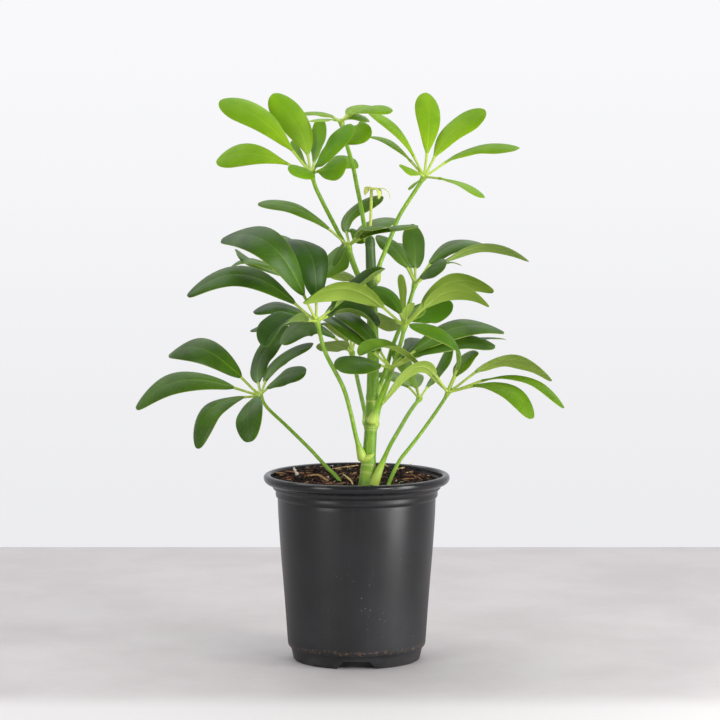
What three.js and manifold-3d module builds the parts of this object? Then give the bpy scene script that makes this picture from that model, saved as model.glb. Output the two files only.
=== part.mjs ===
// A potted umbrella plant: a tapered nursery pot filled with soil, one upright stem, and compound
// leaves, each a stalk that carries a whorl of leaflets. Millimetres, +Z up, +Y to the back.
// The origin is the centre of the pot's flat base.
import * as THREE from "three";
import { mergeVertices } from "three/addons/utils/BufferGeometryUtils.js";
import Module from "manifold-3d";

const wasm = await Module();
wasm.setup();

// ---- Driving dimensions ---------------------------------------------------------------------

const GAP = 0.3; // clearance between pieces that rest against each other

// Pot.
const POT_HEIGHT = 150;
const LIP_RADIUS = 75;
const MOUTH_RADIUS = 69;
const SHOULDER_RADIUS = 67.9; // the swelling under the lip
const NECK_RADIUS = 65.2; // the narrow band under the shoulder
const WALL_TOP_RADIUS = 63.6;
const WALL_FOOT_RADIUS = 55.6;
const STEP_RADIUS = 53.2;
const FOOT_RADIUS = 51;
const WALL = 1.8;
const LIP_FOOT = 142; // height of the lip's lower edge
const SHOULDER_FOOT = 138;
const NECK_FOOT = 131;
const STEP_HEIGHT = 11.5;
const FLOOR_THICKNESS = 2.4;
const POT_SIDES = 48;
const NOTCHES = 3;
const NOTCH_WIDTH = 33;
const NOTCH_TOP_WIDTH = 21;
const NOTCH_HEIGHT = 6.5;
const NOTCH_REACH = 9; // how far a notch runs in from the foot's edge

// Soil.
const SOIL_TOP = 147.4;
const ABOVE_SOIL = SOIL_TOP + 6; // a level above every place of the soil's surface
const SOIL_SLOPE = 3.5; // how much lower the soil lies at the right than in the middle
const SLOPE_REACH = 67.5; // how far right of the middle the slope reaches that depth
const FRONT_DROP = 4.2; // how much lower the soil lies in front of the stem than at the back
const DROP_START = 10; // the soil falls from this far behind the pot's axis
const DROP_END = -32;
const RIPPLE_HEIGHT = 0.7;
const RIPPLE_ACROSS = 7.5; // a ripple's length over a full turn, to the right and to the back
const RIPPLE_BACK = 8.5;
const SOIL_RINGS = 5;
const SOIL_SIDES = 24;

// Stem: points from below the soil to the growing tip, each [right, back, up, radius].
const STEM_ROUTE = [
  [7.5, -29, 118, 6.6],
  [8, -28.5, 143, 6.8],
  [9.5, -26, 160, 5.6],
  [11.5, -20, 190, 5.0],
  [13, -15, 230, 4.8],
  [12.5, -12, 285, 4.3],
  [11, -11, 330, 3.9],
  [10.5, -10, 343, 3.4],
];
const STEM_SIDES = 10;
const STEM_STEPS = 16;

// Leaf stalks.
const STALK_BASE_RADIUS = 3.0;
const STALK_RADIUS = 1.8;
const STALK_TIP_RADIUS = 1.6;
const ROOT_LEVEL = 135; // a stalk that starts below this height comes out of the soil, with no sheath
const SHEATH_SHARE = 0.16; // part of a stalk's length over which its base thins
const STALK_SIDES = 6;
const STALK_STEPS = 7;
const HUB_RADIUS = 2.7; // the small knob where a leaf's leaflets meet
const HUB_SIDES = 6;
const HUB_BANDS = 4;

// Leaflets.
const LEAFLET_STALK_RADIUS = 0.9;
const BLADE_THICKNESS = 1.1;
const THICKNESS_SHARE = 0.1; // greatest share of a small leaflet's width that is half its thickness
const STALK_SHARE = 0.125; // greatest share of a small leaflet's width that is its stalk's radius
const BLADE_STATIONS = [0.14, 0.38, 0.64, 0.85, 0.96];
// widest is the share of a blade's length at its widest place, and a fullness below 1 makes its base
// fuller. The newest leaves have wedge-shaped leaflets.
const OLD_BLADE = { widest: 0.67, fullness: 0.56 };
const NEW_BLADE = { widest: 0.74, fullness: 0.86 };
const NEWEST = 0.9; // from this value of young on, a leaf's leaflets are wedge-shaped
const TIP_FULLNESS = 0.42; // below 0.5 makes the blade's tip blunt
const TIP_WIDTH = 0.4;
const TIP_THICKNESS = 0.3;
const KEEL_RADIUS = 0.8; // roundness of the midrib of a folded leaflet
const FOLD_EASE = 0.3; // how much flatter a folded leaflet lies at its tip than at its base
const ARCH_LEAN = 1.3; // above 1 puts the top of a leaflet's arch past its middle
const EDGE_DROP = 0.16; // how far the margins hang below the midrib, in half widths

// Compound leaves. young runs from 0 for an old dark leaf to 1 for a new bright one, and bare is the
// share of a leaflet's length that is its own thin stalk. hub is where the leaflets meet, and faces
// the way their upper sides turn. route is the stalk from the stem or the soil towards the hub. A
// leaflet row holds its tip's place from the hub (right, back, up), its width, how far its middle
// arches to the upper side and to its right-hand side, the turn about its own length in degrees,
// and, for a leaflet folded along its midrib, how far each half folds up in degrees.
const LEAVES = [
  {
    name: "leaf_01",
    young: 1.0,
    bare: 0.24,
    hub: [-36, 5, 391],
    faces: [-0.1, -0.5, 0.85],
    route: [[8.5, -6, 290], [-2, 16, 315], [-10, 23, 334], [-15.5, 22, 344.5], [-26.5, 12, 366.5], [-33, 8, 380.5]],
    leaflets: [
      [-77, 25, 9.5, 24, 11, 3.5, -16],
      [-75, 40, 57.5, 25, 7.5, 6.5, -8],
      [-33.5, 50, 62.5, 27, -5, 11, 8],
      [-18, 60, 24, 9, 0, 0, -70],
      [4.5, 48, 42.5, 18, -4.5, -3, -40],
      [32, -25, 40, 20, 14, 15.5, 20],
      [35, 40, 10, 19, 4, 1, 16],
      [27.5, -38, 5.5, 21, 3, 0, 32],
      [-17.5, -50, 4.5, 16, 6, -7, -36],
    ],
  },
  {
    name: "leaf_02",
    young: 0.9,
    bare: 0.25,
    hub: [-12.5, 26, 432.5],
    faces: [0.1, 0, 1],
    route: [[10, -7, 336], [6.5, -1, 348], [3.5, 5, 365], [0.5, 9, 379.5], [-3, 14, 397], [-7.5, 20, 412.5]],
    leaflets: [
      [-31, 50, 6.5, 14, 1.5, 4, -12],
      [-24.5, -50, 0.5, 12, 2, -2.5, 4],
      [23.5, 45, 12, 18, 3, -3, 0],
      [41, -35, 8.5, 18, 7.5, 4, 24],
      [20, 50, 2.5, 18, 1.5, -2, 20],
      [24, -25, -5, 25, 3, 10.5, 48],
    ],
  },
  {
    name: "leaf_03",
    young: 0.9,
    bare: 0.26,
    hub: [54, 0, 389],
    faces: [0.1, -0.1, 1],
    route: [[14.5, -12, 304.5], [18.5, -9, 319.5], [22, -6, 328], [29, -3, 345], [33.5, -2, 356.5], [50, 0, 382.5]],
    leaflets: [
      [3, 45, 66, 22, 3, 1.5, 16],
      [50.5, 35, 51, 22, -2, -11.5, 20],
      [76, 15, 21.5, 17, 1, -21.5, 12],
      [45, -50, -15, 16, 5, 0.5, 0],
      [-45, 25, 51.5, 15, 5, 5.5, -8],
      [-42.5, 40, 31, 12, 6.5, -1, 0],
      [-19, -45, 8, 12, 1.5, -0.5, -36],
      [-12, 45, -11, 6, -0.5, 0.5, -60],
    ],
  },
  {
    name: "leaf_04",
    young: 0.35,
    bare: 0.25,
    hub: [-6.5, -8, 334.5],
    faces: [0, -0.1, 1],
    route: [[9, -15, 294], [3, -13, 308], [-2, -9, 320]],
    leaflets: [
      [-72, 0, 33, 18, 11, 0, -20],
      [28, 20, 36.5, 16, -1.5, -25.5, 0],
      [28.5, -58, 16.5, 22, 6, 0, 0],
      [38.5, 45, 18.5, 18, 2, -5.5, 12],
      [55, -42, 17.5, 16, 6.5, 8.5, 12],
      [-12, 20, -18, 11, -3, 8.5, -76],
      [3.5, 15, 12.5, 18, 3.5, 5, 32],
    ],
  },
  {
    name: "leaf_05",
    young: 0.1,
    bare: 0.19,
    hub: [-31, -55, 278],
    faces: [-0.15, -0.3, 0.93],
    route: [[5.5, -27, 163.5], [0, -31, 182], [-5, -38, 205], [-10.5, -43, 224], [-25, -50, 254]],
    leaflets: [
      [-102, 10, 18.5, 25, 17.5, 17.5, -20],
      [-74.5, 20, 63.5, 31, 42.5, -4, -16],
      [-23.5, 35, 62, 31, 22, 4, 12],
      [53.5, 18, 39.5, 27, 0.5, 0, -8, 50],
      [47, 15, -6, 31, 5.5, -14.5, 0, 50],
      [-39.5, -45, -16.5, 32, 10.5, -1, 4, 48],
      [-50, 5, 6, 22, 6.5, 4.5, 0],
      [-53.5, 30, -10.5, 15, 0.5, 8, 0],
    ],
  },
  {
    name: "leaf_06",
    young: 0.2,
    bare: 0.28,
    hub: [47.5, 34, 301.2],
    faces: [0, -0.2, 1],
    route: [[14.5, -13, 213.5], [19.5, -4, 224], [25, 5, 239], [28, 12, 249], [32.5, 17, 260.5], [38.5, 24, 274], [43, 30, 286.5]],
    leaflets: [
      [-32, 15, 37.5, 20, 3, 4.5, -4],
      [-14, 50, 30, 16, 5, 0, 0],
      [-1, 45, 46, 20, -3, 2, 20],
      [56.5, 25, 30.5, 22, 10.5, -6.5, 8],
      [92, -5, 18, 21, 17.5, 9.5, -36],
      [24, -40, 17.5, 18, 4, 0, 48],
      [39, 45, 11.5, 6, 8, 0, 0],
    ],
  },
  {
    name: "leaf_07",
    young: 0.15,
    bare: 0.21,
    hub: [-78.6, 24, 211.2],
    faces: [-0.1, -0.3, 0.95],
    route: [[-8.5, -14, 131.5], [-13.5, -13, 145.5], [-25.5, -5, 157.5], [-37, 3, 169], [-56.5, 13, 187], [-73.5, 21, 202.5]],
    leaflets: [
      [-100, -10, -9.5, 24, 26.5, 0, -24],
      [-75, 35, 30, 26, 21, 6, -28],
      [-48.5, -40, -39, 23, 19, 3.5, -4],
      [-6.5, -62, -31, 24, 14, -4, 24],
      [22, 40, 53, 19, -8, -20.5, -8],
      [42.5, 15, 38.5, 22, 0, -25.5, -8],
      [38, -20, 20.5, 20, 5, -1.5, 20],
    ],
  },
  {
    name: "leaf_08",
    young: 0.6,
    bare: 0.25,
    hub: [38, -40, 273],
    faces: [0.1, -0.1, 1],
    route: [[12.5, -21, 191], [18, -21, 205.5], [22.5, -26, 219], [26.5, -33, 232], [30.5, -37, 245.5], [35, -40, 260]],
    leaflets: [
      [69.5, -15, 28, 24, 15.5, 11.5, -44],
      [65, -35, 18, 20, 15, 11, -44],
      [39, 30, 12.5, 24, -9.5, -14, 24],
      [-26.5, 10, 28, 18, 1.5, 8, -24],
      [-1.5, -20, 40.5, 14, 1.5, 3.5, -44],
      [-25.5, 62, -2.5, 24, 3.5, -0.5, 40],
      [2, -45, 20.5, 12, 1, -1, 44],
      [-79.5, -35, 20.5, 25, 13, -13.5, 48],
      [14, 30, 13, 13, -0.5, -1, -8],
    ],
  },
  {
    name: "leaf_09",
    young: 0.15,
    bare: 0.22,
    hub: [27, -52, 240.5],
    faces: [0, -0.2, 1],
    route: [[11.5, -25, 193], [15.5, -29, 205.5], [20, -36, 219], [24, -44, 230]],
    leaflets: [
      [91.5, 66, 23, 24, 12.5, -8, 20],
      [84, 52, 12.5, 22, 9, -7.5, 20],
      [93.5, 82, 15.5, 14, 8, 1, -8],
      [17, 60, 18.5, 18, 6, 9, 0],
      [-41.5, -40, 2.5, 25, 5, 2, -24],
      [-43.5, 35, 42, 22, 8.5, -2, 8],
      [-51.5, 40, 38.5, 22, 8, -12, 12],
    ],
  },
  {
    name: "leaf_10",
    young: 0.5,
    bare: 0.28,
    hub: [73, -24, 219],
    faces: [0, -0.1, 1],
    route: [[22, -34, 133.5], [25.5, -33, 146], [29.5, -32, 155.5], [34.5, -30, 165], [42.5, -28, 175], [52, -18, 186], [70, -23, 213]],
    leaflets: [
      [-32.5, -62, 58, 19, 25, -8, -50],
      [19.5, 40, 29, 19, 4.5, 2.5, -16],
      [81.5, -10, 9.5, 24, 18, 11, -36],
      [90, -30, -10, 18, 20, 0, 0],
      [64.5, -45, -16.5, 20, 17, -4, 12],
      [-70.5, -88, 36.5, 20, 13.5, 12.5, -16, 42],
      [-53, -30, -7.5, 17, 5.5, -33.5, 52],
    ],
  },
  {
    name: "leaf_11",
    young: 0.4,
    bare: 0.25,
    hub: [51.4, 42, 206.4],
    faces: [0, -0.1, 1],
    route: [[11.5, -31, 140], [15, -33, 149.5], [18, -32, 157], [20.5, -28, 162.5], [26.5, -17, 174.5], [33, -3, 184], [43, 22, 197.5]],
    leaflets: [
      [-22.5, -45, 44, 20, 6.5, -0.5, -80],
      [27, 20, 42, 16, -7, -10, -12],
      [-35, 50, 15, 22, 8, 0, 0],
      [-10, 70, 12, 22, 8, 0, 0],
    ],
  },
  {
    name: "leaf_12",
    young: 0.2,
    bare: 0.25,
    hub: [-4, 48, 243.8],
    faces: [0, -0.1, 1],
    route: [[9, -17, 191], [6, -3, 203], [0, 31, 226]],
    leaflets: [
      [-56, -10, 7, 26, 10.5, 18.5, -20],
      [-27, -50, 11, 20, 0, -4.5, 32],
      [-5.5, 30, 40.5, 22, 5, 0, 0],
      [-22, -38, 26, 24, 8, 0, 0],
      [10, 70, 8, 24, 10, 0, 0],
    ],
  },
  {
    name: "leaf_13",
    young: 0.3,
    bare: 0.25,
    hub: [-36.5, 68, 296.8],
    faces: [0, 0.1, 1],
    route: [[10, -8.5, 258], [3, 4, 268], [-8, 27, 279], [-24, 51, 289]],
    leaflets: [
      [-62.5, -10, 29, 12, -19, 40, -28],
      [-67.5, 25, 14.5, 12, 17.5, -15.5, -24],
      [-26.5, 25, 40.5, 16, 8, -1, 8],
      [27.5, 12, 29, 26, -3, -3, 36],
      [-12, 68, 8, 24, 10, 0, 0],
      [30, 55, 0, 24, 10, 0, 0],
    ],
  },
];

// Sprout: the thin stalk and its small drooping leaflets, rows as above.
const SPROUT = {
  bare: 0.2,
  hub: [11.8, -8.5, 379.5],
  faces: [0, -0.1, 1],
  route: [[10.5, -10.5, 341], [11, -10, 350], [11.3, -9.5, 359], [11.6, -9, 369]],
  stalkRadius: 1.2,
  leaflets: [
    [-5, -4, -5, 3.5, 4, 0, 0],
    [6, -5, -8, 5, 5, 0, 0],
    [15, 2, -8, 4, 5, 0, 0],
    [-4, 8, -4, 5, 4, 0, 0],
    [7, 8, -6, 5, 4, 0, 0],
  ],
};

// ---- Shape helpers --------------------------------------------------------------------------

const toVector = ([x, y, z]) => new THREE.Vector3(x, y, z);

/** Closed body through rings of equally many points, with a fan over each end. */
function loft(rings) {
  const count = rings[0].length;
  const positions = rings.flat().flatMap((point) => point.toArray());
  const index = [];
  for (let ring = 0; ring < rings.length - 1; ring += 1) {
    for (let k = 0; k < count; k += 1) {
      const next = (k + 1) % count;
      const low = ring * count;
      const high = low + count;
      index.push(low + k, low + next, high + k, low + next, high + next, high + k);
    }
  }
  const last = (rings.length - 1) * count;
  for (let k = 1; k < count - 1; k += 1) {
    index.push(0, k + 1, k, last, last + k, last + k + 1);
  }
  const geometry = new THREE.BufferGeometry();
  geometry.setAttribute("position", new THREE.Float32BufferAttribute(positions, 3));
  geometry.setIndex(index);
  return geometry;
}

/** Round tube along a curve, with a radius for each share of its length. */
function tube(curve, radiusAt, sides, steps) {
  const frames = curve.computeFrenetFrames(steps);
  const rings = [];
  for (let step = 0; step <= steps; step += 1) {
    const share = step / steps;
    const centre = curve.getPointAt(share);
    const radius = radiusAt(share);
    const ring = [];
    for (let k = 0; k < sides; k += 1) {
      const angle = (2 * Math.PI * k) / sides;
      ring.push(
        centre
          .clone()
          .addScaledVector(frames.normals[step], radius * Math.cos(angle))
          .addScaledVector(frames.binormals[step], radius * Math.sin(angle)),
      );
    }
    rings.push(ring);
  }
  return loft(rings);
}

/** Solid for joining and cutting, from a closed geometry. */
function solid(geometry) {
  const plain = geometry.clone();
  plain.deleteAttribute("normal");
  plain.deleteAttribute("uv");
  const merged = mergeVertices(plain, 1e-4);
  return new wasm.Manifold(
    new wasm.Mesh({
      numProp: 3,
      vertProperties: new Float32Array(merged.attributes.position.array),
      triVerts: new Uint32Array(merged.index.array),
    }),
  );
}

/** Geometry from a solid. */
function geometryOf(body) {
  const mesh = body.getMesh();
  const geometry = new THREE.BufferGeometry();
  geometry.setAttribute("position", new THREE.BufferAttribute(mesh.vertProperties, 3));
  geometry.setIndex(new THREE.BufferAttribute(mesh.triVerts, 1));
  return geometry;
}

function named(name, geometry, colour, roughness) {
  const material = new THREE.MeshStandardMaterial({ color: colour, roughness, metalness: 0 });
  const mesh = new THREE.Mesh(geometry, material);
  mesh.name = name;
  return mesh;
}

// ---- Pot ------------------------------------------------------------------------------------

/** The pot's inner wall from the mouth down to the middle of its floor. */
function insideWall() {
  const ledge = NOTCH_HEIGHT + FLOOR_THICKNESS;
  const ledgeEdge = FOOT_RADIUS - NOTCH_REACH - WALL;
  return [
    [MOUTH_RADIUS + 0.8, POT_HEIGHT - 0.4],
    [MOUTH_RADIUS, POT_HEIGHT - 2.5],
    [SHOULDER_RADIUS - WALL, LIP_FOOT],
    [SHOULDER_RADIUS - WALL, SHOULDER_FOOT + 1.5],
    [NECK_RADIUS - WALL, SHOULDER_FOOT - 1],
    [NECK_RADIUS - WALL, NECK_FOOT + 2],
    [WALL_TOP_RADIUS - WALL, NECK_FOOT - 1],
    [WALL_FOOT_RADIUS - WALL, STEP_HEIGHT + 2],
    [STEP_RADIUS - WALL - 0.6, STEP_HEIGHT],
    [STEP_RADIUS - WALL - 1.2, ledge],
    [ledgeEdge, ledge],
    [ledgeEdge - 2.5, FLOOR_THICKNESS],
    [0, FLOOR_THICKNESS],
  ];
}

/** Half section of the pot: outside from the base up to the lip, then the inside down again. */
function potProfile() {
  const outside = [
    [0, 0],
    [FOOT_RADIUS - 0.8, 0],
    [FOOT_RADIUS, 0.8],
    [STEP_RADIUS, STEP_HEIGHT - 2],
    [WALL_FOOT_RADIUS - 0.4, STEP_HEIGHT],
    [WALL_FOOT_RADIUS, STEP_HEIGHT + 2],
    [WALL_TOP_RADIUS, NECK_FOOT - 1],
    [NECK_RADIUS, NECK_FOOT + 2],
    [NECK_RADIUS, SHOULDER_FOOT - 1],
    [SHOULDER_RADIUS, SHOULDER_FOOT + 1.5],
    [SHOULDER_RADIUS + 0.6, LIP_FOOT - 0.5],
    [LIP_RADIUS - 2.6, LIP_FOOT + 1],
    [LIP_RADIUS - 0.4, LIP_FOOT + 3.4],
    [LIP_RADIUS, LIP_FOOT + 5],
    [LIP_RADIUS - 1, POT_HEIGHT - 0.8],
    [LIP_RADIUS - 2.8, POT_HEIGHT],
    [LIP_RADIUS - 3.6, POT_HEIGHT],
  ];
  return [...outside, ...insideWall()].map(([radius, height]) => new THREE.Vector2(radius, height));
}

/** A notch in the foot: a low trapezoid run inwards from outside the foot. */
function notchGeometry(angle) {
  const below = 1;
  const outline = new THREE.Shape();
  outline.moveTo(-NOTCH_WIDTH / 2, -below);
  outline.lineTo(NOTCH_WIDTH / 2, -below);
  outline.lineTo(NOTCH_TOP_WIDTH / 2, NOTCH_HEIGHT);
  outline.lineTo(-NOTCH_TOP_WIDTH / 2, NOTCH_HEIGHT);
  outline.closePath();
  const beyond = 4;
  const geometry = new THREE.ExtrudeGeometry(outline, {
    depth: NOTCH_REACH + beyond,
    bevelEnabled: false,
  });
  geometry.rotateX(Math.PI / 2);
  geometry.translate(0, -(FOOT_RADIUS - NOTCH_REACH), 0);
  geometry.rotateZ(angle);
  return geometry;
}

function potGeometry() {
  const shell = new THREE.LatheGeometry(potProfile(), POT_SIDES);
  shell.rotateX(Math.PI / 2);
  let body = solid(shell);
  for (let k = 0; k < NOTCHES; k += 1) {
    body = body.subtract(solid(notchGeometry((2 * Math.PI * k) / NOTCHES)));
  }
  return geometryOf(body);
}

// ---- Stem and leaf stalks -------------------------------------------------------------------

const stemCurve = new THREE.CatmullRomCurve3(STEM_ROUTE.map(toVector));

/** Stem radius at a share of its length, grown by a clearance. */
function stemRadius(clearance) {
  const radii = STEM_ROUTE.map((point) => point[3]);
  const heights = STEM_ROUTE.map((point) => point[2]);
  return (share) => {
    const height = stemCurve.getPointAt(share).z;
    let k = 0;
    while (k < heights.length - 2 && heights[k + 1] < height) {
      k += 1;
    }
    const along = (height - heights[k]) / (heights[k + 1] - heights[k]);
    return THREE.MathUtils.lerp(radii[k], radii[k + 1], THREE.MathUtils.clamp(along, 0, 1)) + clearance;
  };
}

function stemGeometry(clearance = 0) {
  return tube(stemCurve, stemRadius(clearance), STEM_SIDES, STEM_STEPS);
}

function stalkCurve(leaf) {
  return new THREE.CatmullRomCurve3([...leaf.route, leaf.hub].map(toVector), false, "centripetal");
}

function stalkGeometry(leaf, clearance = 0) {
  const thin = leaf.stalkRadius ?? STALK_RADIUS;
  const sheathed = leaf.route[0][2] > ROOT_LEVEL ? STALK_BASE_RADIUS : STALK_RADIUS;
  const base = leaf.stalkRadius ?? sheathed;
  const tip = leaf.stalkRadius ?? STALK_TIP_RADIUS;
  const radiusAt = (share) => {
    if (share < SHEATH_SHARE) {
      return THREE.MathUtils.lerp(base, thin, share / SHEATH_SHARE) + clearance;
    }
    return THREE.MathUtils.lerp(thin, tip, (share - SHEATH_SHARE) / (1 - SHEATH_SHARE)) + clearance;
  };
  return tube(stalkCurve(leaf), radiusAt, STALK_SIDES, STALK_STEPS);
}

function hubGeometry(leaf, clearance = 0) {
  const radius = (leaf.stalkRadius ?? HUB_RADIUS) + clearance;
  const geometry = new THREE.SphereGeometry(radius, HUB_SIDES, HUB_BANDS);
  geometry.translate(...leaf.hub);
  return geometry;
}

/** A leaf stalk, cut clear of the stem and of its own hub. */
function stalkBody(leaf) {
  return solid(stalkGeometry(leaf))
    .subtract(solid(stemGeometry(GAP)))
    .subtract(solid(hubGeometry(leaf, GAP)));
}

// ---- Leaflets -------------------------------------------------------------------------------

/** Half width of a blade at a share of its length, as a share of the greatest half width. */
function bladeOutline(share, { widest, fullness }) {
  const quarter = Math.PI / 2;
  const rise = Math.sin(quarter * Math.min(1, share / widest)) ** fullness;
  const fall = Math.sin(quarter * Math.min(1, (1 - share) / (1 - widest))) ** TIP_FULLNESS;
  return rise * fall;
}

/** One leaflet: its thin stalk and its arched blade, flat or folded along the midrib. */
function leafletGeometry(row, hub, faces, bare, blade) {
  const [right, back, up, width, bow, sway, roll, fold = 0] = row;
  const tip = new THREE.Vector3(right, back, up);
  const along = tip.clone().normalize();
  const upper = faces.clone().addScaledVector(along, -faces.dot(along)).normalize();
  upper.applyAxisAngle(along, THREE.MathUtils.degToRad(roll));
  const side = along.clone().cross(upper);
  const pointAt = (share) => {
    const leant = share ** ARCH_LEAN;
    const arch = 4 * leant * (1 - leant);
    return hub
      .clone()
      .addScaledVector(tip, share)
      .addScaledVector(upper, bow * arch)
      .addScaledVector(side, sway * arch);
  };
  /** A four-sided section: half is its half width, rise the height of its edges. */
  const section = (share, half, thick, rise) => {
    const step = 0.01;
    const before = pointAt(Math.max(share - step, 0));
    const tangent = pointAt(share + step).sub(before).normalize();
    const across = side.clone().addScaledVector(tangent, -side.dot(tangent)).normalize();
    const normal = across.clone().cross(tangent);
    const centre = pointAt(share);
    return [
      centre.clone().addScaledVector(across, -half).addScaledVector(normal, rise),
      centre.clone().addScaledVector(normal, thick),
      centre.clone().addScaledVector(across, half).addScaledVector(normal, rise),
      centre.clone().addScaledVector(normal, -thick),
    ];
  };
  const stalkRadius = Math.min(LEAFLET_STALK_RADIUS, width * STALK_SHARE);
  const rings = [
    section(0, stalkRadius, stalkRadius, 0),
    section(bare, stalkRadius, stalkRadius, 0),
  ];
  const thick = Math.min(BLADE_THICKNESS / 2, width * THICKNESS_SHARE);
  for (const station of BLADE_STATIONS) {
    const share = bare + (1 - bare) * station;
    const half = (width / 2) * bladeOutline(station, blade);
    const bend = THREE.MathUtils.degToRad(fold) * (1 - FOLD_EASE * station);
    const lift = (Math.hypot(half, KEEL_RADIUS) - KEEL_RADIUS) * Math.sin(bend);
    rings.push(section(share, half * Math.cos(bend), thick, lift - EDGE_DROP * half));
  }
  rings.push(section(1, TIP_WIDTH / 2, TIP_THICKNESS / 2, 0));
  return loft(rings);
}

/** The leaflets of one leaf, joined at their hub. */
function whorlBody(leaf) {
  const hub = toVector(leaf.hub);
  const faces = toVector(leaf.faces).normalize();
  const blade = leaf.young < NEWEST ? OLD_BLADE : NEW_BLADE;
  let body = solid(hubGeometry(leaf));
  for (const row of leaf.leaflets) {
    body = body.add(solid(leafletGeometry(row, hub, faces, leaf.bare, blade)));
  }
  return body;
}

// ---- Soil -----------------------------------------------------------------------------------

/** Height of the soil at a place, measured from the pot's base. */
function soilHeight(x, y) {
  const slope = SOIL_SLOPE * Math.max(0, x / SLOPE_REACH) ** 1.5;
  const drop = FRONT_DROP * THREE.MathUtils.smoothstep(-y, -DROP_START, -DROP_END);
  const ripple = RIPPLE_HEIGHT * Math.sin(x / RIPPLE_ACROSS + 1) * Math.cos(y / RIPPLE_BACK);
  return SOIL_TOP - slope - drop + ripple;
}

/** The soil lies just inside the pot's wall and floor, up to the pot's shoulder. */
function soilGeometry() {
  const profile = insideWall()
    .filter(([, height]) => height < LIP_FOOT)
    .reverse()
    .map(([radius, height]) => [Math.max(0, radius - GAP), height + GAP]);
  const rim = SHOULDER_RADIUS - WALL - GAP;
  for (let ring = SOIL_RINGS; ring >= 0; ring -= 1) {
    profile.push([rim * (ring / SOIL_RINGS), ABOVE_SOIL]);
  }
  const geometry = new THREE.LatheGeometry(
    profile.map(([radius, height]) => new THREE.Vector2(radius, height)),
    SOIL_SIDES,
  );
  geometry.rotateX(Math.PI / 2);
  const position = geometry.attributes.position;
  for (let k = 0; k < position.count; k += 1) {
    if (position.getZ(k) > ABOVE_SOIL - 1) {
      position.setZ(k, soilHeight(position.getX(k), position.getY(k)));
    }
  }
  return geometry;
}

function soilBody() {
  let body = solid(soilGeometry()).subtract(solid(stemGeometry(GAP)));
  for (const leaf of LEAVES) {
    if (leaf.route[0][2] < ABOVE_SOIL) {
      body = body.subtract(solid(stalkGeometry(leaf, GAP)));
    }
  }
  return body;
}

// ---- The plant ------------------------------------------------------------------------------

const POT_COLOUR = 0x2c2d2f;
const SOIL_COLOUR = 0x3a2a1e;
const STEM_COLOUR = 0x6d9a33;
const STALK_COLOUR = 0x83a83c;
const SPROUT_COLOUR = 0xb4bf4a;
const OLD_LEAF = new THREE.Color(0x2f5e2a);
const YOUNG_LEAF = new THREE.Color(0x7fae2c);

const plant = new THREE.Group();
plant.add(named("pot", potGeometry(), POT_COLOUR, 0.55));
plant.add(named("soil", geometryOf(soilBody()), SOIL_COLOUR, 0.95));
plant.add(named("stem", stemGeometry(), STEM_COLOUR, 0.55));
for (const leaf of LEAVES) {
  const leafColour = OLD_LEAF.clone().lerp(YOUNG_LEAF, leaf.young);
  plant.add(named(`${leaf.name}_stalk`, geometryOf(stalkBody(leaf)), STALK_COLOUR, 0.5));
  plant.add(named(`${leaf.name}_leaflets`, geometryOf(whorlBody(leaf)), leafColour, 0.35));
}
plant.add(named("sprout_stalk", geometryOf(stalkBody(SPROUT)), SPROUT_COLOUR, 0.6));
plant.add(named("sprout_leaflets", geometryOf(whorlBody(SPROUT)), SPROUT_COLOUR, 0.6));

export default plant;
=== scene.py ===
"""A potted umbrella plant: a black nursery pot with soil, one green stem, and compound leaves, each a
stalk that carries a whorl of leaflets. Metres, +Z up. The photograph looks along +Y."""
import math

import bpy
import numpy as np
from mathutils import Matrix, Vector, noise


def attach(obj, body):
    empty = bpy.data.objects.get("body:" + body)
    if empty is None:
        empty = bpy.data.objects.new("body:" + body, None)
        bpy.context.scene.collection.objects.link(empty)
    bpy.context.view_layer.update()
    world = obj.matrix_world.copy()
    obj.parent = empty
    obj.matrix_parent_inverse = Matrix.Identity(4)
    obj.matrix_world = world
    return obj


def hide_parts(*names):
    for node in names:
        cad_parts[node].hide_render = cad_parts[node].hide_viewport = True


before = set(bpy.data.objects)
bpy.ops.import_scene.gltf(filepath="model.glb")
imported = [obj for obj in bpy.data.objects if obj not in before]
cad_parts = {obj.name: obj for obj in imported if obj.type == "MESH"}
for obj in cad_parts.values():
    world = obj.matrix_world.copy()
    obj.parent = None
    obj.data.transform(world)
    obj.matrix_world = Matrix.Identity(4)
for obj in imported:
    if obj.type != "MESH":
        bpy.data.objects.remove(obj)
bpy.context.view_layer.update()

MM = 0.001

# ---- The plant's measures, in millimetres ------------------------------------------------------

# Points from below the soil to the growing tip: [right, back, up, radius].
STEM_ROUTE = [
    [7.5, -29, 118, 6.6],
    [8, -28.5, 143, 6.8],
    [9.5, -26, 160, 5.6],
    [11.5, -20, 190, 5.0],
    [13, -15, 230, 4.8],
    [12.5, -12, 285, 4.3],
    [11, -11, 330, 3.9],
    [10.5, -10, 343, 3.4],
]
STALK_RADIUS = 1.8
STALK_TIP_RADIUS = 1.6
SHEATH_RADIUS = 4.3  # the swelling with which a stalk clasps the stem
ROOT_LEVEL = 135  # a stalk that starts below this height comes out of the soil, with no sheath
HUB_RADIUS = 2.6
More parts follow.
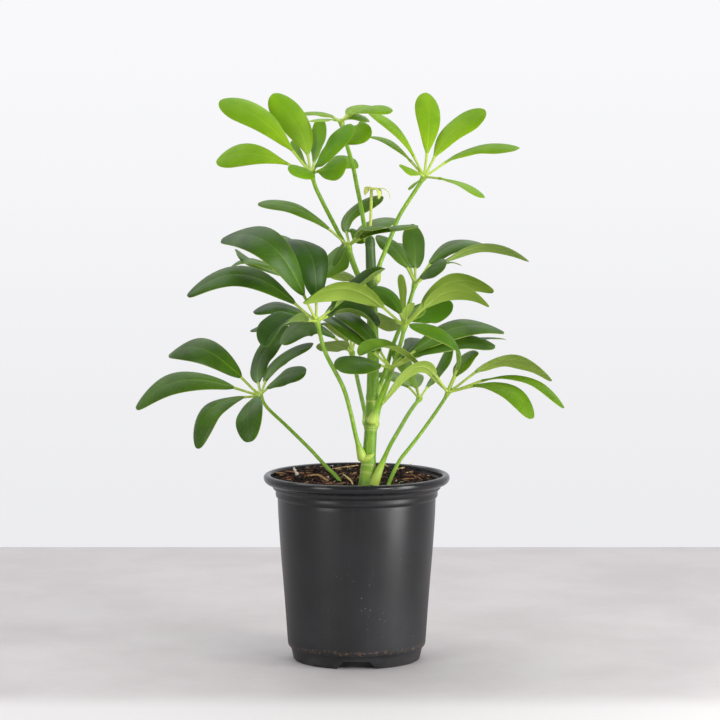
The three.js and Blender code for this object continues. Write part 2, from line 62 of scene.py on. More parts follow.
# The share of a blade's length at its widest place, and a power that below 1 makes its base fuller.
OLD_BLADE = (0.67, 0.56)
NEW_BLADE = (0.74, 0.86)
NEWEST = 0.9  # from this value of young on, a leaf's leaflets are wedge-shaped
BRIGHT = 0.5  # from this value of young on, a leaf is one of the bright ones
TIP_FULLNESS = 0.42  # below 0.5 makes the blade's tip blunt
ARCH_LEAN = 1.3  # above 1 puts the top of a leaflet's arch past its middle
BLADE_THICKNESS = 0.5
LEAFLET_STALK_RADIUS = 0.95
LEAST_HALF_WIDTH = 0.12  # of a leaflet, at its very tip
KEEL_RADIUS = 0.8  # roundness of the midrib of a folded leaflet
FOLD_EASE = 0.3  # how much flatter a folded leaflet lies at its tip than at its base
GROOVE = (0.2, 0.6)  # depth and half width of the groove over the midrib
RIB = (0.12, 0.7, 0.7)  # the midrib below the blade: least height, what its base adds, half width
FULL_RIB_WIDTH = 18  # a blade narrower than this has a slighter groove and midrib

# Compound leaves. young runs from 0 for an old dark leaf to 1 for a new bright one, and bare is the share
# of a leaflet's length that is its own thin stalk. hub is where the leaflets meet, and faces the way their
# upper sides turn. route is the stalk from the stem or the soil towards the hub. A leaflet row holds its
# tip's place from the hub (right, back, up), its width, how far its middle arches to the upper side and to
# its right-hand side, the turn about its own length in degrees and, for a leaflet folded along its midrib,
# how far each half folds up in degrees.
LEAVES = [
    dict(name="leaf_01", young=1.0, bare=0.24, hub=[-36, 5, 391], faces=[-0.1, -0.5, 0.85],
         route=[[8.5, -6, 290], [-2, 16, 315], [-10, 23, 334], [-15.5, 22, 344.5], [-26.5, 12, 366.5],
                [-33, 8, 380.5]],
         leaflets=[
             [-77, 25, 9.5, 24, 11, 3.5, -16], [-75, 40, 57.5, 25, 7.5, 6.5, -8],
             [-33.5, 50, 62.5, 27, -5, 11, 8], [-18, 60, 24, 9, 0, 0, -70],
             [4.5, 48, 42.5, 18, -4.5, -3, -40], [32, -25, 40, 20, 14, 15.5, 20],
             [35, 40, 10, 19, 4, 1, 16], [27.5, -38, 5.5, 21, 3, 0, 32], [-17.5, -50, 4.5, 16, 6, -7, -36],
         ]),
    dict(name="leaf_02", young=0.9, bare=0.25, hub=[-12.5, 26, 432.5], faces=[0.1, 0, 1],
         route=[[10, -7, 336], [6.5, -1, 348], [3.5, 5, 365], [0.5, 9, 379.5], [-3, 14, 397],
                [-7.5, 20, 412.5]],
         leaflets=[
             [-31, 50, 6.5, 14, 1.5, 4, -12], [-24.5, -50, 0.5, 12, 2, -2.5, 4],
             [23.5, 45, 12, 18, 3, -3, 0], [41, -35, 8.5, 18, 7.5, 4, 24], [20, 50, 2.5, 18, 1.5, -2, 20],
             [24, -25, -5, 25, 3, 10.5, 48],
         ]),
    dict(name="leaf_03", young=0.9, bare=0.26, hub=[54, 0, 389], faces=[0.1, -0.1, 1],
         route=[[14.5, -12, 304.5], [18.5, -9, 319.5], [22, -6, 328], [29, -3, 345], [33.5, -2, 356.5],
                [50, 0, 382.5]],
         leaflets=[
             [3, 45, 66, 22, 3, 1.5, 16], [50.5, 35, 51, 22, -2, -11.5, 20],
             [76, 15, 21.5, 17, 1, -21.5, 12], [45, -50, -15, 16, 5, 0.5, 0],
             [-45, 25, 51.5, 15, 5, 5.5, -8], [-42.5, 40, 31, 12, 6.5, -1, 0],
             [-19, -45, 8, 12, 1.5, -0.5, -36], [-12, 45, -11, 6, -0.5, 0.5, -60],
         ]),
    dict(name="leaf_04", young=0.35, bare=0.25, hub=[-6.5, -8, 334.5], faces=[0, -0.1, 1],
         route=[[9, -15, 294], [3, -13, 308], [-2, -9, 320]],
         leaflets=[
             [-72, 0, 33, 18, 11, 0, -20], [28, 20, 36.5, 16, -1.5, -25.5, 0],
             [28.5, -58, 16.5, 22, 6, 0, 0], [38.5, 45, 18.5, 18, 2, -5.5, 12],
             [55, -42, 17.5, 16, 6.5, 8.5, 12], [-12, 20, -18, 11, -3, 8.5, -76],
             [3.5, 15, 12.5, 18, 3.5, 5, 32],
         ]),
    dict(name="leaf_05", young=0.1, bare=0.19, hub=[-31, -55, 278], faces=[-0.15, -0.3, 0.93],
         route=[[5.5, -27, 163.5], [0, -31, 182], [-5, -38, 205], [-10.5, -43, 224], [-25, -50, 254]],
         leaflets=[
             [-102, 10, 18.5, 25, 17.5, 17.5, -20], [-74.5, 20, 63.5, 31, 42.5, -4, -16],
             [-23.5, 35, 62, 31, 22, 4, 12], [53.5, 18, 39.5, 27, 0.5, 0, -8, 50],
             [47, 15, -6, 31, 5.5, -14.5, 0, 50], [-39.5, -45, -16.5, 32, 10.5, -1, 4, 48],
             [-50, 5, 6, 22, 6.5, 4.5, 0], [-53.5, 30, -10.5, 15, 0.5, 8, 0],
         ]),
    dict(name="leaf_06", young=0.2, bare=0.28, hub=[47.5, 34, 301.2], faces=[0, -0.2, 1],
         route=[[14.5, -13, 213.5], [19.5, -4, 224], [25, 5, 239], [28, 12, 249], [32.5, 17, 260.5],
                [38.5, 24, 274], [43, 30, 286.5]],
         leaflets=[
             [-32, 15, 37.5, 20, 3, 4.5, -4], [-14, 50, 30, 16, 5, 0, 0], [-1, 45, 46, 20, -3, 2, 20],
             [56.5, 25, 30.5, 22, 10.5, -6.5, 8], [92, -5, 18, 21, 17.5, 9.5, -36],
             [24, -40, 17.5, 18, 4, 0, 48], [39, 45, 11.5, 6, 8, 0, 0],
         ]),
    dict(name="leaf_07", young=0.15, bare=0.21, hub=[-78.6, 24, 211.2], faces=[-0.1, -0.3, 0.95],
         route=[[-8.5, -14, 131.5], [-13.5, -13, 145.5], [-25.5, -5, 157.5], [-37, 3, 169],
                [-56.5, 13, 187], [-73.5, 21, 202.5]],
         leaflets=[
             [-100, -10, -9.5, 24, 26.5, 0, -24], [-75, 35, 30, 26, 21, 6, -28],
             [-48.5, -40, -39, 23, 19, 3.5, -4], [-6.5, -62, -31, 24, 14, -4, 24],
             [22, 40, 53, 19, -8, -20.5, -8], [42.5, 15, 38.5, 22, 0, -25.5, -8],
             [38, -20, 20.5, 20, 5, -1.5, 20],
         ]),
    dict(name="leaf_08", young=0.6, bare=0.25, hub=[38, -40, 273], faces=[0.1, -0.1, 1],
         route=[[12.5, -21, 191], [18, -21, 205.5], [22.5, -26, 219], [26.5, -33, 232], [30.5, -37, 245.5],
                [35, -40, 260]],
         leaflets=[
             [69.5, -15, 28, 24, 15.5, 11.5, -44], [65, -35, 18, 20, 15, 11, -44],
             [39, 30, 12.5, 24, -9.5, -14, 24], [-26.5, 10, 28, 18, 1.5, 8, -24],
             [-1.5, -20, 40.5, 14, 1.5, 3.5, -44], [-25.5, 62, -2.5, 24, 3.5, -0.5, 40],
             [2, -45, 20.5, 12, 1, -1, 44], [-79.5, -35, 20.5, 25, 13, -13.5, 48],
             [14, 30, 13, 13, -0.5, -1, -8],
         ]),
    dict(name="leaf_09", young=0.15, bare=0.22, hub=[27, -52, 240.5], faces=[0, -0.2, 1],
         route=[[11.5, -25, 193], [15.5, -29, 205.5], [20, -36, 219], [24, -44, 230]],
         leaflets=[
             [91.5, 66, 23, 24, 12.5, -8, 20], [84, 52, 12.5, 22, 9, -7.5, 20],
             [93.5, 82, 15.5, 14, 8, 1, -8], [17, 60, 18.5, 18, 6, 9, 0], [-41.5, -40, 2.5, 25, 5, 2, -24],
             [-43.5, 35, 42, 22, 8.5, -2, 8], [-51.5, 40, 38.5, 22, 8, -12, 12],
         ]),
    dict(name="leaf_10", young=0.5, bare=0.28, hub=[73, -24, 219], faces=[0, -0.1, 1],
         route=[[22, -34, 133.5], [25.5, -33, 146], [29.5, -32, 155.5], [34.5, -30, 165], [42.5, -28, 175],
                [52, -18, 186], [70, -23, 213]],
         leaflets=[
             [-32.5, -62, 58, 19, 25, -8, -50], [19.5, 40, 29, 19, 4.5, 2.5, -16],
             [81.5, -10, 9.5, 24, 18, 11, -36], [90, -30, -10, 18, 20, 0, 0],
             [64.5, -45, -16.5, 20, 17, -4, 12], [-70.5, -88, 36.5, 20, 13.5, 12.5, -16, 42],
             [-53, -30, -7.5, 17, 5.5, -33.5, 52],
         ]),
    dict(name="leaf_11", young=0.4, bare=0.25, hub=[51.4, 42, 206.4], faces=[0, -0.1, 1],
         route=[[11.5, -31, 140], [15, -33, 149.5], [18, -32, 157], [20.5, -28, 162.5], [26.5, -17, 174.5],
                [33, -3, 184], [43, 22, 197.5]],
         leaflets=[
             [-22.5, -45, 44, 20, 6.5, -0.5, -80], [27, 20, 42, 16, -7, -10, -12],
             [-35, 50, 15, 22, 8, 0, 0], [-10, 70, 12, 22, 8, 0, 0],
         ]),
    dict(name="leaf_12", young=0.2, bare=0.25, hub=[-4, 48, 243.8], faces=[0, -0.1, 1],
         route=[[9, -17, 191], [6, -3, 203], [0, 31, 226]],
         leaflets=[
             [-56, -10, 7, 26, 10.5, 18.5, -20], [-27, -50, 11, 20, 0, -4.5, 32],
             [-5.5, 30, 40.5, 22, 5, 0, 0], [-22, -38, 26, 24, 8, 0, 0], [10, 70, 8, 24, 10, 0, 0],
         ]),
    dict(name="leaf_13", young=0.3, bare=0.25, hub=[-36.5, 68, 296.8], faces=[0, 0.1, 1],
         route=[[10, -8.5, 258], [3, 4, 268], [-8, 27, 279], [-24, 51, 289]],
         leaflets=[
             [-62.5, -10, 29, 12, -19, 40, -28], [-67.5, 25, 14.5, 12, 17.5, -15.5, -24],
             [-26.5, 25, 40.5, 16, 8, -1, 8], [27.5, 12, 29, 26, -3, -3, 36], [-12, 68, 8, 24, 10, 0, 0],
             [30, 55, 0, 24, 10, 0, 0],
         ]),
]

SPROUT = dict(name="sprout", young=1.0, bare=0.2, slot="sprout_green", hub_radius=1.3, stalk_radius=1.2,
              hub=[11.8, -8.5, 379.5], faces=[0, -0.1, 1],
              route=[[10.5, -10.5, 341], [11, -10, 350], [11.3, -9.5, 359], [11.6, -9, 369]],
              leaflets=[
                  [-5, -4, -5, 3.5, 4, 0, 0], [6, -5, -8, 5, 5, 0, 0], [15, 2, -8, 4, 5, 0, 0],
                  [-4, 8, -4, 5, 4, 0, 0], [7, 8, -6, 5, 4, 0, 0],
              ])

# Painted shade and painted light: leaflets painted darker (below 0) than their neighbours where they lie in
# shade, and brighter where they catch the light: place in the table, and how much.
PAINTED_LIGHT_AND_SHADE = {
    "leaf_01": {3: -0.8, 4: -0.6, 5: -1.5, 6: -0.8, 7: -0.7, 8: -0.5},
    "leaf_02": {2: 0.3, 4: -0.6, 5: -0.5},
    "leaf_03": {0: 0.5, 6: 0.4},
    "leaf_05": {2: -0.8, 5: -0.5, 7: -0.6},
    "leaf_08": {2: -1.5, 3: -1.6},
    "leaf_10": {0: -0.9},
}

# ---- Curves and meshes -------------------------------------------------------------------------


def unit(v):
    return v / np.maximum(np.linalg.norm(v, axis=-1, keepdims=True), 1e-12)


def smoothstep(low, high, x):
    t = np.clip((x - low) / (high - low), 0.0, 1.0)
    return t * t * (3 - 2 * t)


def run_along(points):
    """The length of a line from its start to each of its points."""
    return np.concatenate([[0], np.cumsum(np.linalg.norm(np.diff(points, axis=0), axis=1))])


def smooth_route(points, steps):
    """Evenly spaced points on the centripetal Catmull-Rom curve through the given ones."""
    p = np.array(points, float)
    p = np.vstack([2 * p[0] - p[1], p, 2 * p[-1] - p[-2]])
    dense = []
    for k in range(1, len(p) - 2):
        x0, x1, x2, x3 = p[k - 1 : k + 3]
        d0, d1, d2 = (np.linalg.norm(b - a) ** 0.5 for a, b in ((x0, x1), (x1, x2), (x2, x3)))
        m1 = d1 * ((x1 - x0) / d0 - (x2 - x0) / (d0 + d1) + (x2 - x1) / d1)
        m2 = d1 * ((x2 - x1) / d1 - (x3 - x1) / (d1 + d2) + (x3 - x2) / d2)
        t = np.linspace(0, 1, 24, endpoint=k == len(p) - 3)[:, None]
        curve = x1 + m1 * t + (3 * (x2 - x1) - 2 * m1 - m2) * t**2 + (2 * (x1 - x2) + m1 + m2) * t**3
        dense.append(curve)
    dense = np.vstack(dense)
    run = run_along(dense)
    at = np.linspace(0, run[-1], steps)
    return np.stack([np.interp(at, run, dense[:, axis]) for axis in range(dense.shape[1])], axis=1)


def frames_along(points):
    """Tangents, normals and binormals along a route, turned as little as possible."""
    tangents = unit(np.gradient(points, axis=0))
    start = np.array([0.0, 0.0, 1.0]) if abs(tangents[0][2]) < 0.9 else np.array([0.0, 1.0, 0.0])
    normals = [unit(start - start.dot(tangents[0]) * tangents[0])]
    for t in tangents[1:]:
        last = normals[-1]
        normals.append(unit(last - last.dot(t) * t))
    normals = np.array(normals)
    return tangents, normals, np.cross(tangents, normals)


def round_turn(angle):
    """A rotation about the upright axis."""
    c, s = math.cos(angle), math.sin(angle)
    return np.array([[c, -s, 0], [s, c, 0], [0, 0, 1]])


def random_turn(rng, lean=1.0):
    """A rotation about a random axis. A small lean keeps the lump nearly level."""
    spin = rng.uniform(0, 2 * math.pi)
    tilt = lean * rng.uniform(-1, 1) * math.pi / 2
    x, y = on_circle(1.0, rng.uniform(0, 2 * math.pi))
    cross = np.array([[0, 0, y], [0, 0, -x], [-y, x, 0]])
    about_level = np.eye(3) + math.sin(tilt) * cross + (1 - math.cos(tilt)) * cross @ cross
    return about_level @ round_turn(spin)


def on_circle(radius, angle):
    return radius * math.cos(angle), radius * math.sin(angle)


def band(low, high, sides):
    """Quads between two rings of points, whose first indices are low and high."""
    return [(low + k, low + (k + 1) % sides, high + (k + 1) % sides, high + k) for k in range(sides)]


def fan(centre, ring, sides):
    """Triangles between a point and a ring of points."""
    return [(centre, ring + k, ring + (k + 1) % sides) for k in range(sides)]


def turned_over(faces):
    return [(face[0], *face[:0:-1]) for face in faces]


def tube_faces(rings, sides):
    """Quads between neighbouring rings of points, and a cap over each end."""
    faces = []
    for ring in range(rings - 1):
        faces += band(ring * sides, (ring + 1) * sides, sides)
    faces.append(tuple(range(sides - 1, -1, -1)))
    faces.append(tuple(range((rings - 1) * sides, rings * sides)))
    return faces


def add_object(name, data):
    made = bpy.data.objects.new(name, data)
    bpy.context.collection.objects.link(made)
    return made


class Body:
    """Collects points in millimetres, faces, material slots and the values that materials read."""

    VALUES = ("young", "tone", "run", "reach", "across", "edge")

    def __init__(self):
        self.points = []
        self.faces = []
        self.slots = []
        self.values = {name: [] for name in self.VALUES}
        self.count = 0

    def add(self, points, faces, slots=0, **values):
        """slots is one for all faces or one for each, and so is each value for the points."""
        points = np.asarray(points, float).reshape(-1, 3)
        self.points.append(points)
        self.faces += [[index + self.count for index in face] for face in faces]
        self.slots += np.broadcast_to(slots, len(faces)).tolist()
        for name in self.VALUES:
            given = np.asarray(values.get(name, 0.0), float).ravel()
            self.values[name].append(np.broadcast_to(given, len(points)))
        self.count += len(points)

    def make(self, name, materials, sharp=50):
        """Edges that bend by more than sharp degrees are drawn sharp, unless sharp is None."""
        mesh = bpy.data.meshes.new(name)
        mesh.from_pydata((np.vstack(self.points) * MM).tolist(), [], self.faces)
        mesh.polygons.foreach_set("material_index", self.slots)
        mesh.shade_smooth()
        if sharp is not None:
            mesh.set_sharp_from_angle(angle=math.radians(sharp))
        for value, parts in self.values.items():
            attribute = mesh.attributes.new(value, "FLOAT", "POINT")
            attribute.data.foreach_set("value", np.concatenate(parts).astype(np.float32))
        for material in materials:
            mesh.materials.append(material)
        mesh.update()
        return add_object(name, mesh)


def add_tube(body, points, radii, sides=16, squash=1.0, **values):
    """A round tube along points. squash is a factor on the radius, by ring and by side."""
    points = np.asarray(points, float)
    _, normals, binormals = frames_along(points)
    angles = np.linspace(0, 2 * math.pi, sides, endpoint=False)
    radii = np.asarray(radii, float)[:, None] * np.ones(sides) * squash
    rings = (
        points[:, None]
        + radii[..., None] * np.cos(angles)[None, :, None] * normals[:, None]
        + radii[..., None] * np.sin(angles)[None, :, None] * binormals[:, None]
    )
    run = run_along(points)
    spread = {
        "run": np.repeat(run, sides),
        "reach": np.repeat(run / run[-1], sides),
        "across": np.tile(angles, len(points)),
    }
    body.add(rings, tube_faces(len(points), sides), **{**spread, **values})


def add_lump(body, centre, radii, turn, rng, rough=0.25, rings=5, sides=8, slots=0, **values):
    """A rounded irregular lump. turn is a 3 by 3 rotation."""
    directions = [(0.0, 0.0, -1.0)]
    for ring in range(1, rings):
        tilt = math.pi * ring / rings
        for k in range(sides):
            x, y = on_circle(math.sin(tilt), 2 * math.pi * (k + 0.5 * (ring % 2)) / sides)
            directions.append((x, y, -math.cos(tilt)))
    directions.append((0.0, 0.0, 1.0))
    directions = np.array(directions)
    size = 1 + rough * rng.uniform(-1, 1, len(directions))
    points = centre + (directions * size[:, None] * np.asarray(radii)) @ np.asarray(turn).T
    top = len(directions) - 1
    faces = turned_over(fan(0, 1, sides)) + fan(top, top - sides, sides)
    for ring in range(rings - 2):
        faces += band(1 + ring * sides, 1 + (ring + 1) * sides, sides)
    body.add(points, faces, slots, **values)


# ---- Materials ---------------------------------------------------------------------------------


def srgb(r, g, b):
    """An sRGB colour, each part 0 to 255, as linear light."""
    def linear(c):
        c /= 255
        return c / 12.92 if c <= 0.04045 else ((c + 0.055) / 1.055) ** 2.4
    return (linear(r), linear(g), linear(b), 1.0)


class Nodes:
    """The node tree of a material or a world, with short ways to add nodes."""

    def __init__(self, owner, output="ShaderNodeOutputMaterial"):
        self.owner = owner
        owner.use_nodes = True
        self.tree = owner.node_tree
        self.tree.nodes.clear()
        self.out = self.tree.nodes.new(output)

    def add(self, kind, inputs=None, **settings):
        node = self.tree.nodes.new(kind)
        for key, value in settings.items():
            setattr(node, key, value)
        for key, value in (inputs or {}).items():
            if isinstance(value, bpy.types.NodeSocket):
                self.tree.links.new(value, node.inputs[key])
            else:
                node.inputs[key].default_value = value
        return node

    def value(self, name):
        return self.add("ShaderNodeAttribute", attribute_name=name).outputs["Fac"]

    def place(self):
        return self.add("ShaderNodeTexCoord").outputs["Object"]

    def along(self, axis, vector):
        return self.add("ShaderNodeSeparateXYZ", {0: vector}).outputs[axis]

    def math(self, operation, a, b=0.0, c=0.0):
        return self.add("ShaderNodeMath", {0: a, 1: b, 2: c}, operation=operation).outputs[0]

    def times(self, a, b):
        return self.math("MULTIPLY", a, b)

    def line(self, a, slope, start):
        return self.math("MULTIPLY_ADD", a, slope, start)

    def ramp(self, value, low, high, to_low=0.0, to_high=1.0):
        """Smooth step from to_low at low to to_high at high."""
        inputs = {"Value": value, "From Min": low, "From Max": high, "To Min": to_low, "To Max": to_high}
        return self.add("ShaderNodeMapRange", inputs, interpolation_type="SMOOTHSTEP").outputs[0]

    def mix(self, share, a, b):
        """Colours a and b are each a socket, the three numbers of srgb, or four of linear light."""
        a, b = (srgb(*c) if isinstance(c, tuple) and len(c) == 3 else c for c in (a, b))
        return self.add("ShaderNodeMix", {0: share, 6: a, 7: b}, data_type="RGBA").outputs[2]

    def layers(self, colour, *coats):
        """Colours laid over a first one. Each coat is its share and its colour."""
        for share, coat in coats:
            colour = self.mix(share, colour, coat)
        return colour

    def noise(self, vector, scale, detail=2.0, roughness=0.5):
        inputs = {"Vector": vector, "Scale": scale, "Detail": detail, "Roughness": roughness}
        return self.add("ShaderNodeTexNoise", inputs).outputs["Fac"]

    def blotches(self, vector, scale, detail, low, high, most, roughness=0.5):
        """Noise as a share from 0 to most."""
        return self.ramp(self.noise(vector, scale, detail, roughness), low, high, 0.0, most)

    def cells(self, vector, scale, feature="F1"):
        inputs = {"Vector": vector, "Scale": scale}
        return self.add("ShaderNodeTexVoronoi", inputs, feature=feature).outputs["Distance"]

    def scaled(self, vector, scale):
        return self.add("ShaderNodeVectorMath", {0: vector, 1: scale}, operation="MULTIPLY").outputs[0]

    def tinted(self, colour, hue, value):
        inputs = {"Hue": hue, "Saturation": 1.0, "Value": value, "Color": colour}
        return self.add("ShaderNodeHueSaturation", inputs).outputs[0]

    def bump(self, height, distance, strength=1.0, normal=None):
        inputs = {"Height": height, "Distance": distance, "Strength": strength}
        if normal is not None:
            inputs["Normal"] = normal
        return self.add("ShaderNodeBump", inputs).outputs[0]

    def surface(self, colour, rough, normal, shine):
        inputs = {"Base Color": colour, "Roughness": rough, "Specular IOR Level": shine}
        if normal is not None:
            inputs["Normal"] = normal
        return self.add("ShaderNodeBsdfPrincipled", inputs).outputs[0]

    def finish(self, shader):
        self.tree.links.new(shader, self.out.inputs["Surface"])
        return self.owner

    def skin(self, colour, rough, normal, shine):
        """Finishes an opaque material."""
        return self.finish(self.surface(colour, rough, normal, shine))

    def blade(self, shader, share, colour):
        """Finishes a leaf's material: a share of the light passes through it, in colour."""
        through = self.add("ShaderNodeBsdfTranslucent", {"Color": colour}).outputs[0]
        return self.finish(self.add("ShaderNodeMixShader", {0: share, 1: shader, 2: through}).outputs[0])


def new_material(name):
    return Nodes(bpy.data.materials.new(name))


def leaf_pattern(n):
    """Values that both sides of a leaflet share: midrib, side veins and margin, each 0 to 1."""
    across, edge = n.math("ABSOLUTE", n.value("across")), n.value("edge")
    rib_width = n.line(n.value("reach"), -0.5, 0.7)
    rib = n.ramp(n.math("DIVIDE", across, rib_width), 0.4, 1.0, 1.0, 0.0)
    wander = n.times(n.noise(n.place(), 90.0), 2.4)
    slant = n.line(n.math("POWER", across, 0.9), -0.95, n.value("run"))
    spacing = 4.6  # millimetres between side veins
    count = n.math("DIVIDE", n.math("ADD", slant, wander), spacing)
    vein = n.ramp(n.math("PINGPONG", count, 0.5), 0.0, 0.085, 1.0, 0.0)
    vein = n.times(vein, n.ramp(edge, 0.4, 2.5))
    margin = n.ramp(edge, 0.1, 0.6, 1.0, 0.0)
    return rib, vein, margin


def leaf_top(name, shine, dull):
    """Upper side of a leaflet. shine is its specular level, dull is its least roughness."""
    n = new_material(name)
    rib, vein, margin = leaf_pattern(n)
    young, tone, reach = n.value("young"), n.value("tone"), n.value("reach")
    place = n.place()
    cloud = n.noise(place, 42.0, 3.0)
    patches = n.blotches(place, 120.0, 4.0, 0.56, 0.8, 0.25, 0.65)
    fading_rib = n.times(rib, n.ramp(reach, 0.05, 0.85, 0.6, 0.1))
    colour = n.layers(
        n.mix(young, (46, 84, 17), (134, 180, 16)),
        (n.ramp(cloud, 0.35, 0.68, 0.0, 0.8), n.mix(young, (24, 48, 12), (108, 156, 10))),
        (n.ramp(reach, 0.0, 0.55, 0.5, 0.0), n.mix(young, (74, 122, 22), (156, 194, 30))),
        (patches, n.mix(young, (84, 118, 46), (166, 196, 40))),
        (n.times(vein, 0.12), n.mix(young, (84, 132, 40), (150, 190, 30))),
        (fading_rib, n.mix(young, (118, 160, 46), (166, 196, 46))),
        (n.times(margin, 0.8), n.mix(young, (138, 158, 56), (166, 184, 46))),
    )
    # tone darkens or brightens the leaflet: its own random tone, plus painted shade and painted light.
    colour = n.tinted(colour, n.line(tone, -0.012, 0.5), n.line(tone, 0.22, 1.0))
    height = n.line(vein, -0.35, n.times(n.noise(place, 900.0, 2.0), 0.2))
    normal = n.bump(n.noise(place, 65.0, 2.0), 0.0012, 0.35)
    normal = n.bump(height, 0.0002, 0.8, normal)
    shader = n.surface(colour, n.line(cloud, 0.16, dull), normal, shine)
    return n.blade(shader, 0.2, n.mix(young, (90, 140, 10), (170, 205, 4)))


def leaf_under():
    """Lower side of a leaflet: paler, matte, with a fine net of veins and a raised midrib."""
    n = new_material("leaf_under")
    rib, vein, margin = leaf_pattern(n)
    young, tone = n.value("young"), n.value("tone")
    place = n.place()
    clouds = n.blotches(place, 60.0, 3.0, 0.4, 0.7, 0.45)
    net = n.ramp(n.cells(place, 420.0, "DISTANCE_TO_EDGE"), 0.0, 0.12, 0.18, 0.0)
    colour = n.layers(
        n.mix(young, (152, 180, 90), (180, 208, 72)),
        (clouds, n.mix(young, (132, 164, 74), (156, 190, 54))),
        (net, (132, 172, 60)),
        (n.times(vein, 0.22), (134, 174, 62)),
        (n.times(rib, 0.6), n.mix(young, (204, 224, 130), (216, 230, 128))),
        (n.times(margin, 0.5), (206, 222, 130)),
    )
    # tone darkens or brightens the leaflet: its own random tone, plus painted shade and painted light.
    colour = n.tinted(colour, n.line(tone, -0.01, 0.5), n.line(tone, 0.14, 1.0))
    height = n.line(vein, 0.7, n.times(n.noise(place, 800.0, 2.0), 0.3))
    shader = n.surface(colour, 0.6, n.bump(height, 0.0002, 0.8), 0.3)
    return n.blade(shader, 0.3, n.mix(young, (116, 152, 40), (176, 208, 54)))


def stalk_skin(name, base, pale, deep):
    """Smooth green skin with fine lengthwise streaks, paler at a sheath, the base and the tip."""
    n = new_material(name)
    place, reach = n.place(), n.value("reach")
    streak = n.noise(n.scaled(place, (1.0, 1.0, 0.12)), 900.0, 3.0)
    ends = n.math("MAXIMUM", n.ramp(reach, 0.0, 0.16, 1.0, 0.0), n.ramp(reach, 0.93, 1.0))
    sheath = n.ramp(n.value("edge"), 0.0, 0.8, 0.0, 0.8)
    cloud = n.blotches(place, 160.0, 3.0, 0.5, 0.75, 0.35)
    flecks = n.ramp(n.cells(place, 620.0), 0.1, 0.2, 0.3, 0.0)
    colour = n.layers(base, (n.ramp(streak, 0.35, 0.7, 0.0, 0.5), deep), (n.times(ends, 0.35), pale),
                      (sheath, pale), (cloud, pale), (flecks, pale))
    return n.skin(colour, 0.42, n.bump(streak, 0.0003, 0.5), 0.45)


def stem_skin():
    """Green bark: streaks, pale flecks, a pale scar at each node, and painted shade near the top: a darker
    green where the leaves shade the stem.
    """
    n = new_material("stem_skin")
    place = n.place()
    streak = n.noise(n.scaled(place, (1.0, 1.0, 0.1)), 700.0, 3.0)
    flecks = n.cells(n.scaled(place, (1.0, 1.0, 0.5)), 480.0)
    height = n.along("Z", place)
    colour = n.layers(
        (108, 152, 16),
        (n.ramp(streak, 0.35, 0.7, 0.0, 0.55), (72, 118, 12)),
        (n.blotches(place, 110.0, 3.0, 0.45, 0.75, 0.5), (146, 176, 36)),
        (n.times(n.value("edge"), 0.7), (172, 190, 92)),
        (n.ramp(flecks, 0.12, 0.2, 0.5, 0.0), (176, 190, 112)),
        (n.ramp(height, 0.141, 0.152, 0.55, 0.0), (96, 104, 48)),
        # Painted shade: darker green near the top, where the leaves shade the stem.
        (n.ramp(height, 0.275, 0.32, 0.0, 0.85), (44, 74, 22)),
    )
    return n.skin(colour, 0.45, n.bump(streak, 0.0005, 0.6), 0.45)


def pot_plastic():
    """Dark moulded plastic: fine grain, faint vertical drag marks, dust specks and soil on the step."""
    n = new_material("pot_plastic")
    place = n.place()
    height = n.along("Z", place)
    drag = n.noise(n.scaled(place, (1.0, 1.0, 0.06)), 160.0, 4.0)
    cloud = n.noise(place, 22.0, 3.0)
    specks = n.ramp(n.cells(place, 210.0), 0.06, 0.14, 0.55, 0.0)
    step = n.times(n.ramp(height, 0.0105, 0.0125), n.ramp(height, 0.0135, 0.0165, 1.0, 0.0))
    crumbs = n.times(step, n.blotches(place, 420.0, 4.0, 0.5, 0.62, 1.0, 0.7))
    # Blotches that make the wall paler towards the bottom.
    paler_low_blotches = n.ramp(n.noise(place, 30.0, 4.0, 0.6), 0.3, 0.75, 0.3, 1.0)
    foot = n.ramp(height, 0.0, 0.012, 1.0, 0.0)
    colour = n.layers(
        (16, 16, 18),
        (n.ramp(cloud, 0.35, 0.7), (22, 22, 25)),
        (n.ramp(drag, 0.5, 0.75, 0.0, 0.2), (39, 39, 43)),
        (n.times(specks, n.blotches(place, 26.0, 2.0, 0.5, 0.66, 1.0)), (120, 114, 108)),
        (n.times(crumbs, 0.6), (112, 86, 64)),
        # Paler towards the bottom, in blotches.
        (n.times(n.ramp(height, 0.01, 0.1, 0.08, 0.0), paler_low_blotches), (108, 108, 112)),
        (n.times(foot, n.blotches(place, 70.0, 4.0, 0.4, 0.7, 0.3, 0.6)), (92, 86, 82)),
    )
    rough = n.line(drag, 0.1, n.line(cloud, 0.06, 0.24))
    rough = n.math("ADD", rough, n.ramp(height, 0.015, 0.12, 0.2, 0.0))
    rough = n.math("SUBTRACT", rough, n.ramp(height, 0.139, 0.144, 0.0, 0.13))
    normal = n.bump(n.noise(n.scaled(place, (1.0, 1.0, 0.3)), 24.0, 2.0), 0.0012, 0.1)
    normal = n.bump(n.noise(place, 1500.0, 2.0), 0.0001, 0.35, normal)
    return n.skin(colour, rough, normal, 0.42)


def potting_mix():
    """Damp dark peat. tone shifts each crumb between black and red-brown."""
    n = new_material("potting_mix")
    place, tone = n.place(), n.value("tone")
    colour = n.layers(
        (18, 10, 9),
        (n.blotches(place, 240.0, 4.0, 0.35, 0.68, 1.0, 0.65), (58, 33, 25)),
        (n.ramp(tone, 0.0, 1.0, 0.0, 0.75), (122, 70, 46)),
        (n.blotches(place, 75.0, 2.0, 0.42, 0.62, 0.75), (12, 8, 8)),
    )
    return n.skin(colour, 0.82, n.bump(n.noise(place, 1400.0, 3.0), 0.0006, 0.9), 0.3)


